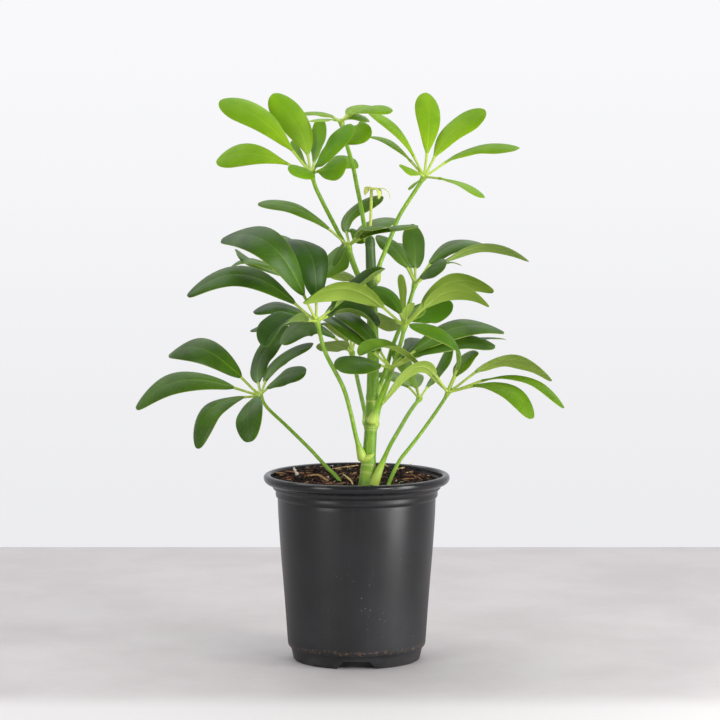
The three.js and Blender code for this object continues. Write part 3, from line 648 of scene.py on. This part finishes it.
def bark():
    """Chips of bark and wood: tone runs from dark brown to pale tan."""
    n = new_material("bark_chip")
    place, tone = n.place(), n.value("tone")
    grain = n.noise(n.scaled(place, (1.0, 3.0, 1.0)), 520.0, 4.0, 0.6)
    colour = n.mix(tone, (70, 44, 30), (178, 140, 98))
    dark = n.mix(tone, (40, 25, 18), (120, 86, 56))
    colour = n.mix(n.ramp(grain, 0.4, 0.65, 0.0, 0.7), colour, dark)
    return n.skin(colour, 0.75, n.bump(grain, 0.0008, 0.8), 0.3)


def perlite():
    """White porous grains, stained brown in places."""
    n = new_material("perlite")
    place = n.place()
    pores = n.cells(place, 1500.0)
    colour = n.mix(n.ramp(pores, 0.1, 0.45), (186, 170, 150), (232, 224, 212))
    colour = n.mix(n.blotches(place, 300.0, 3.0, 0.55, 0.7, 0.5), colour, (150, 124, 96))
    return n.skin(colour, 0.9, n.bump(pores, 0.0008, 0.7), 0.5)


def root_fibre():
    """Dry roots: tone runs from red-brown to straw."""
    n = new_material("root_fibre")
    place, tone = n.place(), n.value("tone")
    blotches = n.blotches(place, 500.0, 3.0, 0.45, 0.7, 0.5)
    colour = n.layers((78, 40, 28), (n.ramp(tone, -0.9, 0.1), (158, 104, 66)),
                      (n.ramp(tone, 0.1, 1.0), (222, 196, 130)), (blotches, (110, 72, 46)))
    return n.skin(colour, 0.7, n.bump(n.noise(place, 1200.0), 0.0004), 0.5)


# ---- Leaflets ----------------------------------------------------------------------------------

# Places across a blade, from one margin to the other, closer together at the margins and the midrib.
ACROSS = np.array([-1, -0.985, -0.93, -0.8, -0.6, -0.38, -0.18, -0.06, 0,
                   0.06, 0.18, 0.38, 0.6, 0.8, 0.93, 0.985, 1])
STALK_RINGS = 7
BLADE_RINGS = 26
TOP_SLOT, UNDER_SLOT, STALK_SLOT = 0, 1, 2


def leaflet_spine(row, hub, faces, share):
    """Points on the leaflet's middle line, with its across and upward directions there."""
    right, back, up, _, bow, sway, roll = row[:7]
    tip = np.array([right, back, up], float)
    along = unit(tip)
    upper = unit(faces - faces.dot(along) * along)
    angle = math.radians(roll)
    upper = upper * math.cos(angle) + np.cross(along, upper) * math.sin(angle)
    side = np.cross(along, upper)

    def at(s):
        leant = np.clip(s, 0, None)[:, None] ** ARCH_LEAN
        arch = 4 * leant * (1 - leant)
        return hub + tip * s[:, None] + (upper * bow + side * sway) * arch

    step = 0.01
    before = np.maximum(share - step, 0)
    tangent = unit(at(share + step) - at(before))
    across = unit(side - (tangent @ side)[:, None] * tangent)
    return at(share), across, np.cross(across, tangent)


def blade_outline(reach, shape):
    """Half width at a share of the blade's length, as a share of the greatest half width."""
    widest, fullness = shape
    rise = np.sin(math.pi / 2 * np.clip(reach / widest, 0, 1)) ** fullness
    fall = np.sin(math.pi / 2 * np.clip((1 - reach) / (1 - widest), 0, 1)) ** TIP_FULLNESS
    return rise * fall


def leaflet_radius(width, length, bare, share, reach):
    """The radius of a leaflet's own stalk, thicker at both ends, which fades out along the midrib."""
    thin = min(LEAFLET_STALK_RADIUS, width / 8)
    near_hub = 1 - smoothstep(0, 0.1 * bare * length + 3.0, share * length)
    near_blade = smoothstep(0.75 * bare, bare, share)
    return thin * (1 + 0.9 * near_hub + 0.25 * near_blade) * (1 - smoothstep(0.0, 0.3, reach))


def blade_camber(rng, width, half, reach, flat):
    """How high a blade's surface lies over its middle line: raised and hanging margins, waves, a twist."""
    t = ACROSS[None]
    fold, drop = rng.uniform(0.05, 0.16), rng.uniform(0.12, 0.24)
    camber = half * flat * (fold * np.abs(t) ** 1.2 - (fold + drop) * np.abs(t) ** 2.3)
    waves, phase = rng.uniform(1.2, 2.4), rng.uniform(0, 2 * math.pi, 2)
    amount = rng.uniform(0.02, 0.055) * width / 2
    wave = np.sin(2 * math.pi * waves * reach + np.where(t < 0, phase[0], phase[1]))
    twist = math.radians(rng.uniform(-9, 9)) * (reach - 0.3) * flat
    return camber + amount * wave * np.abs(t) ** 3 * flat + np.sin(twist) * t * half


def add_leaflet(body, row, hub, faces, bare, young, tone, rng):
    """One leaflet: its own thin stalk and its blade, a closed sheet with a midrib, arched margins
    and a light wave along them."""
    width = row[3]
    length = float(np.linalg.norm(row[:3]))
    spread = 0.5 - 0.5 * np.cos(math.pi * np.linspace(0, 1, BLADE_RINGS + 1))[1:]
    reach = np.concatenate([np.zeros(STALK_RINGS), spread])
    share = np.concatenate([np.linspace(0, bare, STALK_RINGS), bare + (1 - bare) * spread])
    middle, across, up = leaflet_spine(row, hub, faces, share)
    radius = leaflet_radius(width, length, bare, share, reach)
    outline = blade_outline(reach, OLD_BLADE if young < NEWEST else NEW_BLADE)
    half = np.sqrt(radius**2 + (width / 2 * outline) ** 2) + LEAST_HALF_WIDTH
    half[-1] = LEAST_HALF_WIDTH
    half, radius, reach = half[:, None], radius[:, None], reach[:, None]
    flat = smoothstep(0.0, 0.12, reach)  # 0 on the leaflet's stalk, 1 on its blade

    t = ACROSS[None]
    thick = min(BLADE_THICKNESS, width / 16) / 2
    lens = thick * np.sqrt(np.clip(1 - np.abs(t) ** 12, 0, 1)) * (0.4 + 0.6 * smoothstep(0, 0.12, 1 - reach))
    ball = radius * np.sqrt(np.clip(1 - t**2, 0, 1)) * (1 - flat)
    camber = blade_camber(rng, width, half, reach, flat)
    offset = t * half
    bend = math.radians(row[7] if len(row) > 7 else 0.0) * flat * (1 - FOLD_EASE * reach)
    camber = camber + (np.sqrt(offset**2 + KEEL_RADIUS**2) - KEEL_RADIUS) * np.sin(bend)
    slight = min(1, width / FULL_RIB_WIDTH)
    groove = GROOVE[0] * np.exp(-((offset / GROOVE[1]) ** 2)) * flat * (1 - reach) * slight
    rib = (RIB[0] + RIB[1] * (1 - reach) ** 1.2) * np.exp(-((offset / RIB[2]) ** 2)) * flat * slight
    over = camber + ball + lens * flat - groove
    under = camber - ball - lens * flat - rib
    under[:, 0] = over[:, 0]
    under[:, -1] = over[:, -1]

    def place(heights):
        sideways = (offset * np.cos(bend))[..., None]
        return middle[:, None] + across[:, None] * sideways + up[:, None] * heights[..., None]

    rings = np.concatenate([place(over), place(under)[:, -2:0:-1]], axis=1)
    sides = rings.shape[1]
    across_here = np.concatenate([offset, offset[:, -2:0:-1]], axis=1)
    edge_here = half - np.abs(across_here) + 4 * (1 - flat)  # the stalk counts as far from any margin
    top_sides = len(ACROSS) - 1
    around = [TOP_SLOT] * top_sides + [UNDER_SLOT] * (sides - top_sides)
    slots = [STALK_SLOT] * sides * (STALK_RINGS - 1) + around * BLADE_RINGS + [STALK_SLOT, TOP_SLOT]
    body.add(rings, tube_faces(len(share), sides), slots, young=young, tone=tone,
             run=np.repeat(share * length, sides), reach=np.repeat(reach, sides),
             across=across_here, edge=edge_here)


# ---- Leaves and stem ---------------------------------------------------------------------------


def settle(piece, node):
    """Puts a piece on the only body, and in place of its node if it has one."""
    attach(piece, "root")
    if node:
        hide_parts(node)


def make_whorl(leaf, number, materials):
    """The leaflets of one leaf and the knob where they meet."""
    rng = np.random.default_rng(100 + number)
    hub = np.array(leaf["hub"], float)
    faces = unit(np.array(leaf["faces"], float))
    young = leaf["young"]
    painted_shading = PAINTED_LIGHT_AND_SHADE.get(leaf["name"], {})
    body = Body()
    for place, row in enumerate(leaf["leaflets"]):
        # A leaflet's tone is its own random tone plus the painted shade and painted light of the table
        # above.
        tone = painted_shading.get(place, 0.0) + rng.uniform(-0.25, 0.25)
        add_leaflet(body, row, hub, faces, leaf["bare"], young, tone, rng)
    radius = leaf.get("hub_radius", HUB_RADIUS)
    add_lump(body, hub, (radius, radius, radius * 0.85), np.eye(3), rng, rough=0.04,
             rings=10, sides=16, slots=STALK_SLOT, reach=1.0, young=young)
    settle(body.make(leaf["name"] + "_blades", materials), leaf["name"] + "_leaflets")


# A sheath's length, how far round the stem it reaches in degrees, and how much it rises there.
SHEATHS = {
    "leaf_05": (20, 118, 5.0),
    "leaf_11": (38, 50, 1.0),
    "leaf_09": (18, 60, 4.0),
}
PLAIN_SHEATH = (17, 70, 3.0)
STALK_POINTS = 140
STALK_SIDES = 18
FLARE, FLARE_REACH = 1.1, 7  # how much a stalk widens at its hub, and over what length
ROOTED_SHARE = 0.86  # thickness of a stalk that comes out of the soil, as a share of the others'
FOOT_REACH = 3.5  # the length over which a sheath rounds off at its foot
COLLAR_RADIUS, COLLAR_TIP_RADIUS = 3.6, 0.5


def add_collar(body, foot, ahead, turn, rise):
    """The two arms of a sheath, which run round the stem from the stalk's foot and thin to a point."""
    route = np.array(STEM_ROUTE, float)
    x, y, stem = (np.interp(foot[2], route[:, 2], route[:, column]) for column in (0, 1, 3))
    heading = math.atan2(ahead[1] - y, ahead[0] - x)
    for way in (-1, 1):
        share = np.linspace(0, 1, 22)
        angle = heading + way * math.radians(turn) * share
        radius = COLLAR_RADIUS * (1 - share) ** 0.7 + COLLAR_TIP_RADIUS
        out = stem - 0.5 * radius
        height = foot[2] + 1.5 + rise * share**1.5
        points = np.stack([x + out * np.cos(angle), y + out * np.sin(angle), height], axis=1)
        add_tube(body, points, radius, sides=14, edge=1.0)


def make_stalk(leaf, material):
    """A leaf's stalk, with a sheath where it leaves the stem."""
    points = smooth_route([*leaf["route"], leaf["hub"]], STALK_POINTS)
    share = np.linspace(0, 1, STALK_POINTS)
    run = share * run_along(points)[-1]
    length, turn, rise = SHEATHS.get(leaf["name"], PLAIN_SHEATH)
    sheath = np.zeros(STALK_POINTS)
    thin = leaf.get("stalk_radius")
    if thin:
        radii = thin * (1 + 0.35 * (1 - smoothstep(0, 0.1, share)))
    else:
        radii = STALK_RADIUS + (STALK_TIP_RADIUS - STALK_RADIUS) * share
        radii = radii + FLARE * smoothstep(run[-1] - FLARE_REACH, run[-1], run)
        if leaf["route"][0][2] < ROOT_LEVEL:
            radii = radii * ROOTED_SHARE
        else:
            sheath = 1 - smoothstep(0, length, run)
            radii = radii + (SHEATH_RADIUS - STALK_RADIUS) * sheath
            radii = radii * np.sqrt(1 - np.clip(1 - run / FOOT_REACH, 0, 1) ** 2 * 0.96)
    body = Body()
    add_tube(body, points, radii, STALK_SIDES, young=leaf["young"], edge=np.repeat(sheath, STALK_SIDES))
    if sheath[0] > 0:
        add_collar(body, points[0], points[8], turn, rise)
    settle(body.make(leaf["name"] + "_petiole", [material]), leaf["name"] + "_stalk")


STEM_RINGS = 260
STEM_SIDES = 28
LOWEST_NODE = 157.5
NODE_SWELL, NODE_REACH = 0.38, 2.6  # how much the stem widens at a node, and how far
SCAR_DROP, SCAR_REACH = 3.2, 0.8  # how far below its node a scar lies, and how far it spreads


def make_stem(material):
    """The stem, a little thicker at each node, with a scar below it."""
    points = smooth_route(STEM_ROUTE, STEM_RINGS)
    route, height, radii = points[:, :3], points[:, 2], points[:, 3].copy()
    starts = [leaf["route"][0][2] for leaf in LEAVES]
    scar = np.zeros(STEM_RINGS)
    for level in [LOWEST_NODE] + [start for start in starts if start > SOIL_TOP]:
        radii += NODE_SWELL * np.exp(-(((height - level) / NODE_REACH) ** 2))
        scar = np.maximum(scar, np.exp(-(((height - level + SCAR_DROP) / SCAR_REACH) ** 2)))
    angles = np.linspace(0, 2 * math.pi, STEM_SIDES, endpoint=False)[None]
    ripple = 1 + 0.02 * np.sin(3 * angles + height[:, None] / 19) + 0.012 * np.sin(5 * angles + 1)
    radii = radii * (1 - 0.6 * smoothstep(0.985, 1.0, np.linspace(0, 1, STEM_RINGS)))
    body = Body()
    add_tube(body, route, radii, STEM_SIDES, ripple, edge=np.repeat(scar, STEM_SIDES))
    settle(body.make("stem_shoot", [material]), "stem")


# ---- Pot ---------------------------------------------------------------------------------------

# The outside from the middle of the base up to the lip, and the inside down to the floor's middle:
# (radius, height).
POT_OUTSIDE = [
    (0, 0), (49.6, 0), (50.6, 0.25), (51.2, 0.9), (52.1, 5.0), (52.8, 8.2), (53.2, 9.5), (53.9, 10.2),
    (54.7, 10.9), (55.25, 11.8), (55.55, 12.9), (55.75, 14.4), (56.3, 22), (57.5, 40), (59.5, 66),
    (60.6, 79), (61.6, 92), (62.5, 105), (63.2, 117), (63.55, 127), (63.65, 129.4), (63.5, 130.2),
    (63.55, 130.8), (64.1, 131.5), (64.8, 132.0), (65.15, 132.7), (65.3, 133.8), (65.25, 135.4),
    (65.1, 136.2), (65.3, 136.9), (66.0, 137.5), (66.9, 138.2), (67.6, 139.1), (67.9, 140.0),
    (67.9, 140.6), (68.3, 141.3), (69.4, 141.9), (70.9, 142.3), (72.4, 142.9), (73.7, 143.9),
    (74.6, 145.3), (74.95, 147.0), (74.7, 148.4), (73.9, 149.4), (72.7, 149.95), (71.4, 150.0),
]
POT_INSIDE = [
    (70.3, 149.8), (69.5, 149.3), (69.1, 148.5), (68.95, 147.4), (68.7, 145.6), (68.0, 143.9),
    (66.8, 142.5), (66.0, 141.2), (65.7, 139.8), (64.9, 138.6), (63.6, 137.2), (63.25, 135.8),
    (63.2, 133.2), (62.1, 131.2), (61.6, 129.4), (61.2, 117), (59.5, 92), (57.4, 66), (54.2, 22),
    (53.6, 14.0), (52.2, 12.2), (50.9, 11.2), (50.2, 8.9), (40.2, 8.9), (37.6, 2.4), (0, 2.4),
]
POT_SIDES = 180
NOTCHES = 3
NOTCH_WIDTH = 33
NOTCH_TOP_WIDTH = 21
NOTCH_HEIGHT = 6.5
NOTCH_REACH = 9
FOOT_RADIUS = 51


def lathe(profile, sides):
    """A closed turned body whose profile starts and ends on the axis."""
    ring = np.linspace(0, 2 * math.pi, sides, endpoint=False)
    inner = profile[1:-1]
    points = [(*on_circle(r, a), z) for r, z in inner for a in ring]
    low, high = len(points), len(points) + 1
    points += [(0, 0, profile[0][1]), (0, 0, profile[-1][1])]
    faces = []
    for row in range(len(inner) - 1):
        faces += band(row * sides, (row + 1) * sides, sides)
    faces += turned_over(fan(low, 0, sides)) + fan(high, low - sides, sides)
    body = Body()
    body.add(points, faces)
    return body


def notch_body():
    """The trapezoid prisms that are cut out of the foot."""
    body = Body()
    outline = ((-NOTCH_WIDTH / 2, -1), (NOTCH_WIDTH / 2, -1),
               (NOTCH_TOP_WIDTH / 2, NOTCH_HEIGHT), (-NOTCH_TOP_WIDTH / 2, NOTCH_HEIGHT))
    depths = (NOTCH_REACH - FOOT_RADIUS, -4 - FOOT_RADIUS)
    for number in range(NOTCHES):
        turn = round_turn(2 * math.pi * number / NOTCHES)
        corners = [turn @ (x, y, z) for y in depths for x, z in outline]
        faces = [(3, 2, 1, 0), (4, 5, 6, 7), (1, 5, 4, 0), (2, 6, 5, 1), (3, 7, 6, 2), (0, 4, 7, 3)]
        body.add(corners, faces)
    return body


def make_pot(material):
    """The turned shell, with the drain notches cut out of its foot."""
    pot = lathe(POT_OUTSIDE + POT_INSIDE, POT_SIDES).make("pot_shell", [material], sharp=None)
    cutter = notch_body().make("cutter", [], sharp=None)
    cut = pot.modifiers.new("notches", "BOOLEAN")
    cut.operation = "DIFFERENCE"
    cut.solver = "EXACT"
    cut.object = cutter
    bpy.context.view_layer.update()
    shaped = bpy.data.meshes.new_from_object(pot.evaluated_get(bpy.context.evaluated_depsgraph_get()))
    pot.modifiers.clear()
    pot.data = shaped
    bpy.data.objects.remove(cutter)
    shaped.shade_smooth()
    shaped.set_sharp_from_angle(angle=math.radians(38))
    settle(pot, "pot")


# ---- Soil --------------------------------------------------------------------------------------

SOIL_TOP = 147.4
SOIL_SLOPE = 3.5  # how much lower the soil lies at the right than in the middle
SLOPE_REACH = 67.5
FRONT_DROP = 4.2  # how much lower the soil lies in front of the stem than at the back
DROP_START = 10
DROP_END = -32
RIPPLE_HEIGHT = 0.7
RIPPLE_ACROSS = 7.5
RIPPLE_BACK = 8.5
SOIL_RADIUS = 66.2
SOIL_FOOT = 0.93  # the bed narrows towards its floor, inside the pot's neck
SOIL_FLOOR = 134.0
SOIL_RINGS = 64
SOIL_SIDES = 168
CRUMBS, CHIPS, GRAINS, FIBRES = 2600, 130, 26, 210  # how many lie scattered on the soil


def soil_height(x, y):
    slope = SOIL_SLOPE * max(0.0, x / SLOPE_REACH) ** 1.5
    drop = FRONT_DROP * float(smoothstep(-DROP_START, -DROP_END, -y))
    ripple = RIPPLE_HEIGHT * math.sin(x / RIPPLE_ACROSS + 1) * math.cos(y / RIPPLE_BACK)
    lumps = 1.2 * noise.fractal(Vector((x / 8, y / 8, 3.1)), 0.7, 2.1, 5)
    rubble = 0.5 * noise.noise(Vector((x / 1.7, y / 1.7, 7.7)))
    return SOIL_TOP - slope - drop + ripple + lumps + rubble


def on_soil(x, y, lift):
    return np.array([x, y, soil_height(x, y) + lift])


def soil_spot(rng, clear=9.0):
    """A random place on the soil, off the stem."""
    while True:
        radius = (SOIL_RADIUS - 2.0) * math.sqrt(rng.uniform(0, 1))
        x, y = on_circle(radius, rng.uniform(0, 2 * math.pi))
        if math.hypot(x - STEM_ROUTE[1][0], y - STEM_ROUTE[1][1]) > clear:
            return x, y


def make_soil_bed(material):
    """The bed of soil: its uneven surface, its side, its floor and the crumbs on it."""
    sides = SOIL_SIDES
    points = [on_soil(0.0, 0.0, 0.0)]
    for ring in range(1, SOIL_RINGS + 1):
        for k in range(sides):
            angle = 2 * math.pi * (k + 0.5 * (ring % 2)) / sides
            points.append(on_soil(*on_circle(SOIL_RADIUS * ring / SOIL_RINGS, angle), 0.0))
    rim, base = 1 + (SOIL_RINGS - 1) * sides, len(points)
    points += [(x * SOIL_FOOT, y * SOIL_FOOT, SOIL_FLOOR) for x, y, _ in points[rim:]]
    points.append((0.0, 0.0, SOIL_FLOOR))
    faces = fan(0, 1, sides) + turned_over(band(rim, base, sides) + fan(base + sides, base, sides))
    for ring in range(SOIL_RINGS - 1):
        faces += turned_over(band(1 + ring * sides, 1 + (ring + 1) * sides, sides))
    body = Body()
    body.add(points, faces)
    rng = np.random.default_rng(7)
    for _ in range(CRUMBS):
        x, y = soil_spot(rng, 8.0)
        size = rng.uniform(0.5, 1.5) if rng.uniform() < 0.85 else rng.uniform(1.5, 2.6)
        radii = size * rng.uniform(0.6, 1.3, 3)
        add_lump(body, on_soil(x, y, 0.25 * size), radii, random_turn(rng), rng, 0.35, rings=4, sides=6,
                 tone=rng.uniform(-0.6, 1) ** 3)
    settle(body.make("soil_bed", [material], sharp=40), "soil")


# Bits seen in the photograph: [right, back, half length, turn in degrees, tone].
BARK_PLACED = [
    (-62, 12, 6.0, -35, 0.8),
    (-59, 6, 4.5, 10, 0.6),
    (-11, 32, 5.5, 20, 0.85),
    (-9, 16, 4.5, -25, 0.9),
    (-2, 14, 3.6, 15, 1.0),
    (-1, 3, 3.0, -15, 0.95),
    (-29, 50, 4.0, 30, 0.8),
    (-44, -6, 3.2, 20, 0.9),
    (-54, -4, 2.6, -10, 0.85),
    (19, -19, 3.0, 10, 1.0),
    (51, 18, 1.8, 0, 1.0),
]
# [right, back, radius, how far its middle stands above the soil]
PERLITE_PLACED = [
    (-48, 2, 1.8, 1.4),
    (-49.5, 4, 1.4, 4.2),
    (-50.5, 6, 1.1, 6.2),
    (-23, 0, 1.2, 0.9),
    (-20, 5, 1.0, 0.8),
    (32, -11, 1.2, 1.0),
    (12, -14, 0.9, 0.7),
]
# (points [right, back, above the soil], radius, tone)
FIBRES_PLACED = [
    ([(-11, 6, 0.8), (-8, -6, 1.8), (-4, -18, 1.8), (-3, -30, 0.4)], 0.8, 1.0),
    ([(-40, -2, 0.2), (-31, -4, 1.6), (-25, -11, 1.6), (-20, -22, 0.2)], 0.9, 0.45),
    ([(-20, 36, 0.4), (-10, 47, 1.2), (2, 53, 0.8), (12, 55, 0.4)], 0.75, 0.6),
    ([(30, 48, 0.3), (38, 56, 0.9), (43, 59, 2.4), (45, 59, 3.6)], 0.7, 0.75),
    ([(20, 56, 3.4), (22, 54, 4.2), (25, 51, 2.2), (27, 50, 0.3)], 0.6, 0.7),
    ([(-58, 20, 0.4), (-50, 10, 1.4), (-40, 8, 0.4)], 0.6, 0.2),
    ([(36, 10, 0.4), (46, 4, 1.2), (54, -6, 0.3)], 0.5, 0.1),
]


def make_bark(material):
    rng = np.random.default_rng(11)
    body = Body()
    for _ in range(CHIPS):
        x, y = soil_spot(rng)
        long = rng.uniform(1.6, 5.5) if rng.uniform() < 0.85 else rng.uniform(5, 9)
        radii = (long, rng.uniform(0.8, 1.9), rng.uniform(0.35, 0.9))
        tone = rng.uniform(0, 1) ** 1.5
        add_lump(body, on_soil(x, y, 0.45), radii, random_turn(rng, 0.22), rng, 0.22, tone=tone)
    for x, y, long, spin, tone in BARK_PLACED:
        add_lump(body, on_soil(x, y, 0.9), (long, 1.3, 0.8), round_turn(math.radians(spin)), rng, 0.15,
                 rings=8, sides=9, tone=tone)
    settle(body.make("bark_chips", [material], sharp=35), None)


def make_perlite(material):
    rng = np.random.default_rng(13)
    body = Body()
    for _ in range(GRAINS):
        x, y = soil_spot(rng)
        size = rng.uniform(0.4, 0.9)
        radii = size * rng.uniform(0.75, 1.2, 3)
        add_lump(body, on_soil(x, y, 0.4 * size), radii, random_turn(rng), rng, 0.2, rings=6, sides=9)
    for x, y, size, lift in PERLITE_PLACED:
        radii = size * np.array([0.9, 0.8, 1.15])
        add_lump(body, on_soil(x, y, lift), radii, random_turn(rng, 0.2), rng, 0.16, rings=8, sides=12)
    settle(body.make("perlite_bits", [material], sharp=35), None)


def add_fibre(body, points, radius, tone):
    """A root that lies on the soil and tapers at both ends."""
    steps = 28
    laid = smooth_route([on_soil(x, y, radius + lift) for x, y, lift in points], steps)
    taper = np.sin(math.pi * np.linspace(0.06, 0.94, steps)) ** 0.4
    add_tube(body, laid, radius * taper, sides=8, tone=tone)


def make_fibres(material):
    rng = np.random.default_rng(17)
    body = Body()
    for _ in range(FIBRES):
        x, y = soil_spot(rng)
        heading, long = rng.uniform(0, 2 * math.pi), rng.uniform(5, 20)
        points = []
        for _ in range(5):
            points.append((x, y, rng.uniform(0.0, 0.9)))
            heading += rng.uniform(-0.6, 0.6)
            x += long / 4 * math.cos(heading)
            y += long / 4 * math.sin(heading)
            if math.hypot(x, y) > SOIL_RADIUS - 2:
                break
        if len(points) > 2:
            add_fibre(body, points, rng.uniform(0.16, 0.45), rng.uniform(-0.9, 0.9))
    for points, radius, tone in FIBRES_PLACED:
        add_fibre(body, points, radius, tone)
    settle(body.make("root_fibres", [material], sharp=None), None)


# ---- Stage, in metres --------------------------------------------------------------------------

CAMERA_PLACE = (0.0027, -2.396, 0.4684)
CAMERA_PITCH = 5.4  # degrees below the horizon
CAMERA_LENS = 150.0
FLOOR_BACK = 0.572  # where the photograph's floor ends
FLOOR_REACH = 4
PLANT_MIDDLE = (0.0, 0.0, 0.25)
# name, place, the point it faces, its two sides, watts
LIGHTS = [
    ("over", (-0.25, 0.55, 1.5), PLANT_MIDDLE, (2.2, 1.6), 16),
    ("key", (1.33, -0.66, 0.5), PLANT_MIDDLE, (0.5, 1.0), 14),
    ("low", (0.46, -0.3, 0.03), (0.03, 0.0, 0.03), (0.22, 0.05), 0.42),
    ("front", (0.9, -1.2, 0.56), PLANT_MIDDLE, (0.35, 0.35), 7),
    ("fill", (-1.0, -1.1, 0.45), PLANT_MIDDLE, (0.5, 0.9), 7),
]


def make_floor():
    """A pale mottled slab, with painted light where it comes towards the camera: paler there."""
    n = new_material("floor")
    place = n.place()
    colour = n.layers(
        (191, 186, 186),
        (n.blotches(place, 9.0, 5.0, 0.3, 0.7, 1.0, 0.6), (200, 196, 196)),
        (n.blotches(place, 160.0, 4.0, 0.35, 0.7, 0.1, 0.6), (182, 176, 174)),
        # Painted light: the floor is paler towards the camera, where it is lit more.
        (n.ramp(n.along("Y", place), -0.205, -0.13, 1.0, 0.0), (217, 214, 213)),
    )
    mesh = bpy.data.meshes.new("floor")
    far = FLOOR_REACH
    corners = [(-far, -far, 0), (far, -far, 0), (far, FLOOR_BACK, 0), (-far, FLOOR_BACK, 0)]
    mesh.from_pydata(corners, [], [(0, 1, 2, 3)])
    mesh.materials.append(n.skin(colour, 0.7, None, 0.2))
    add_object("floor", mesh)


def make_world():
    """A pale studio. The camera sees a backdrop; as light it is brighter behind the plant than in front."""
    world = bpy.data.worlds.new("studio")
    bpy.context.scene.world = world
    n = Nodes(world, "ShaderNodeOutputWorld")
    way = n.add("ShaderNodeTexCoord").outputs["Generated"]

    def shade(axis, low, high, at_low, at_high):
        """A background whose colour runs from at_low to at_high between two directions."""
        share = n.ramp(n.along(axis, way), low, high)
        return n.add("ShaderNodeBackground", {"Color": n.mix(share, at_low, at_high)}).outputs[0]

    light = shade("Y", -0.9, 0.6, (0.34, 0.34, 0.35, 1.0), (0.72, 0.73, 0.76, 1.0))
    seen = shade("Z", -0.16, 0.03, (237, 237, 240), (249, 249, 251))
    camera_ray = n.add("ShaderNodeLightPath").outputs["Is Camera Ray"]
    n.finish(n.add("ShaderNodeMixShader", {0: camera_ray, 1: light, 2: seen}).outputs[0])


def make_lights():
    for name, place, aim, size, power in LIGHTS:
        lamp = bpy.data.lights.new(name, "AREA")
        lamp.shape = "RECTANGLE"
        lamp.size, lamp.size_y = size
        lamp.energy = power
        made = add_object(name, lamp)
        made.location = place
        made.rotation_euler = (Vector(aim) - Vector(place)).to_track_quat("-Z", "Y").to_euler()


def make_camera():
    lens = bpy.data.cameras.new("camera")
    lens.lens = CAMERA_LENS
    lens.sensor_width = 36.0
    lens.clip_end = 20.0
    camera = add_object("camera", lens)
    camera.location = CAMERA_PLACE
    camera.rotation_euler = (math.radians(90 - CAMERA_PITCH), 0.0, 0.0)
    bpy.context.scene.camera = camera


def make_plant():
    old_top, young_top = leaf_top("leaf_top", 0.3, 0.3), leaf_top("young_leaf_top", 0.2, 0.42)
    under = leaf_under()
    skin = stalk_skin("stalk_skin", (124, 168, 34), (178, 200, 84), (94, 138, 24))
    soft = stalk_skin("sprout_skin", (186, 200, 84), (206, 212, 112), (168, 186, 64))
    for number, leaf in enumerate(LEAVES):
        make_whorl(leaf, number, [young_top if leaf["young"] >= BRIGHT else old_top, under, skin])
        make_stalk(leaf, skin)
    make_whorl(SPROUT, 50, [soft, soft, soft])
    make_stalk(SPROUT, soft)
    make_stem(stem_skin())


bpy.context.scene.view_settings.view_transform = "Standard"
make_camera()
make_pot(pot_plastic())
make_soil_bed(potting_mix())
make_bark(bark())
make_perlite(perlite())
make_fibres(root_fibre())
make_plant()
make_floor()
make_world()
make_lights()
bpy.context.view_layer.update()
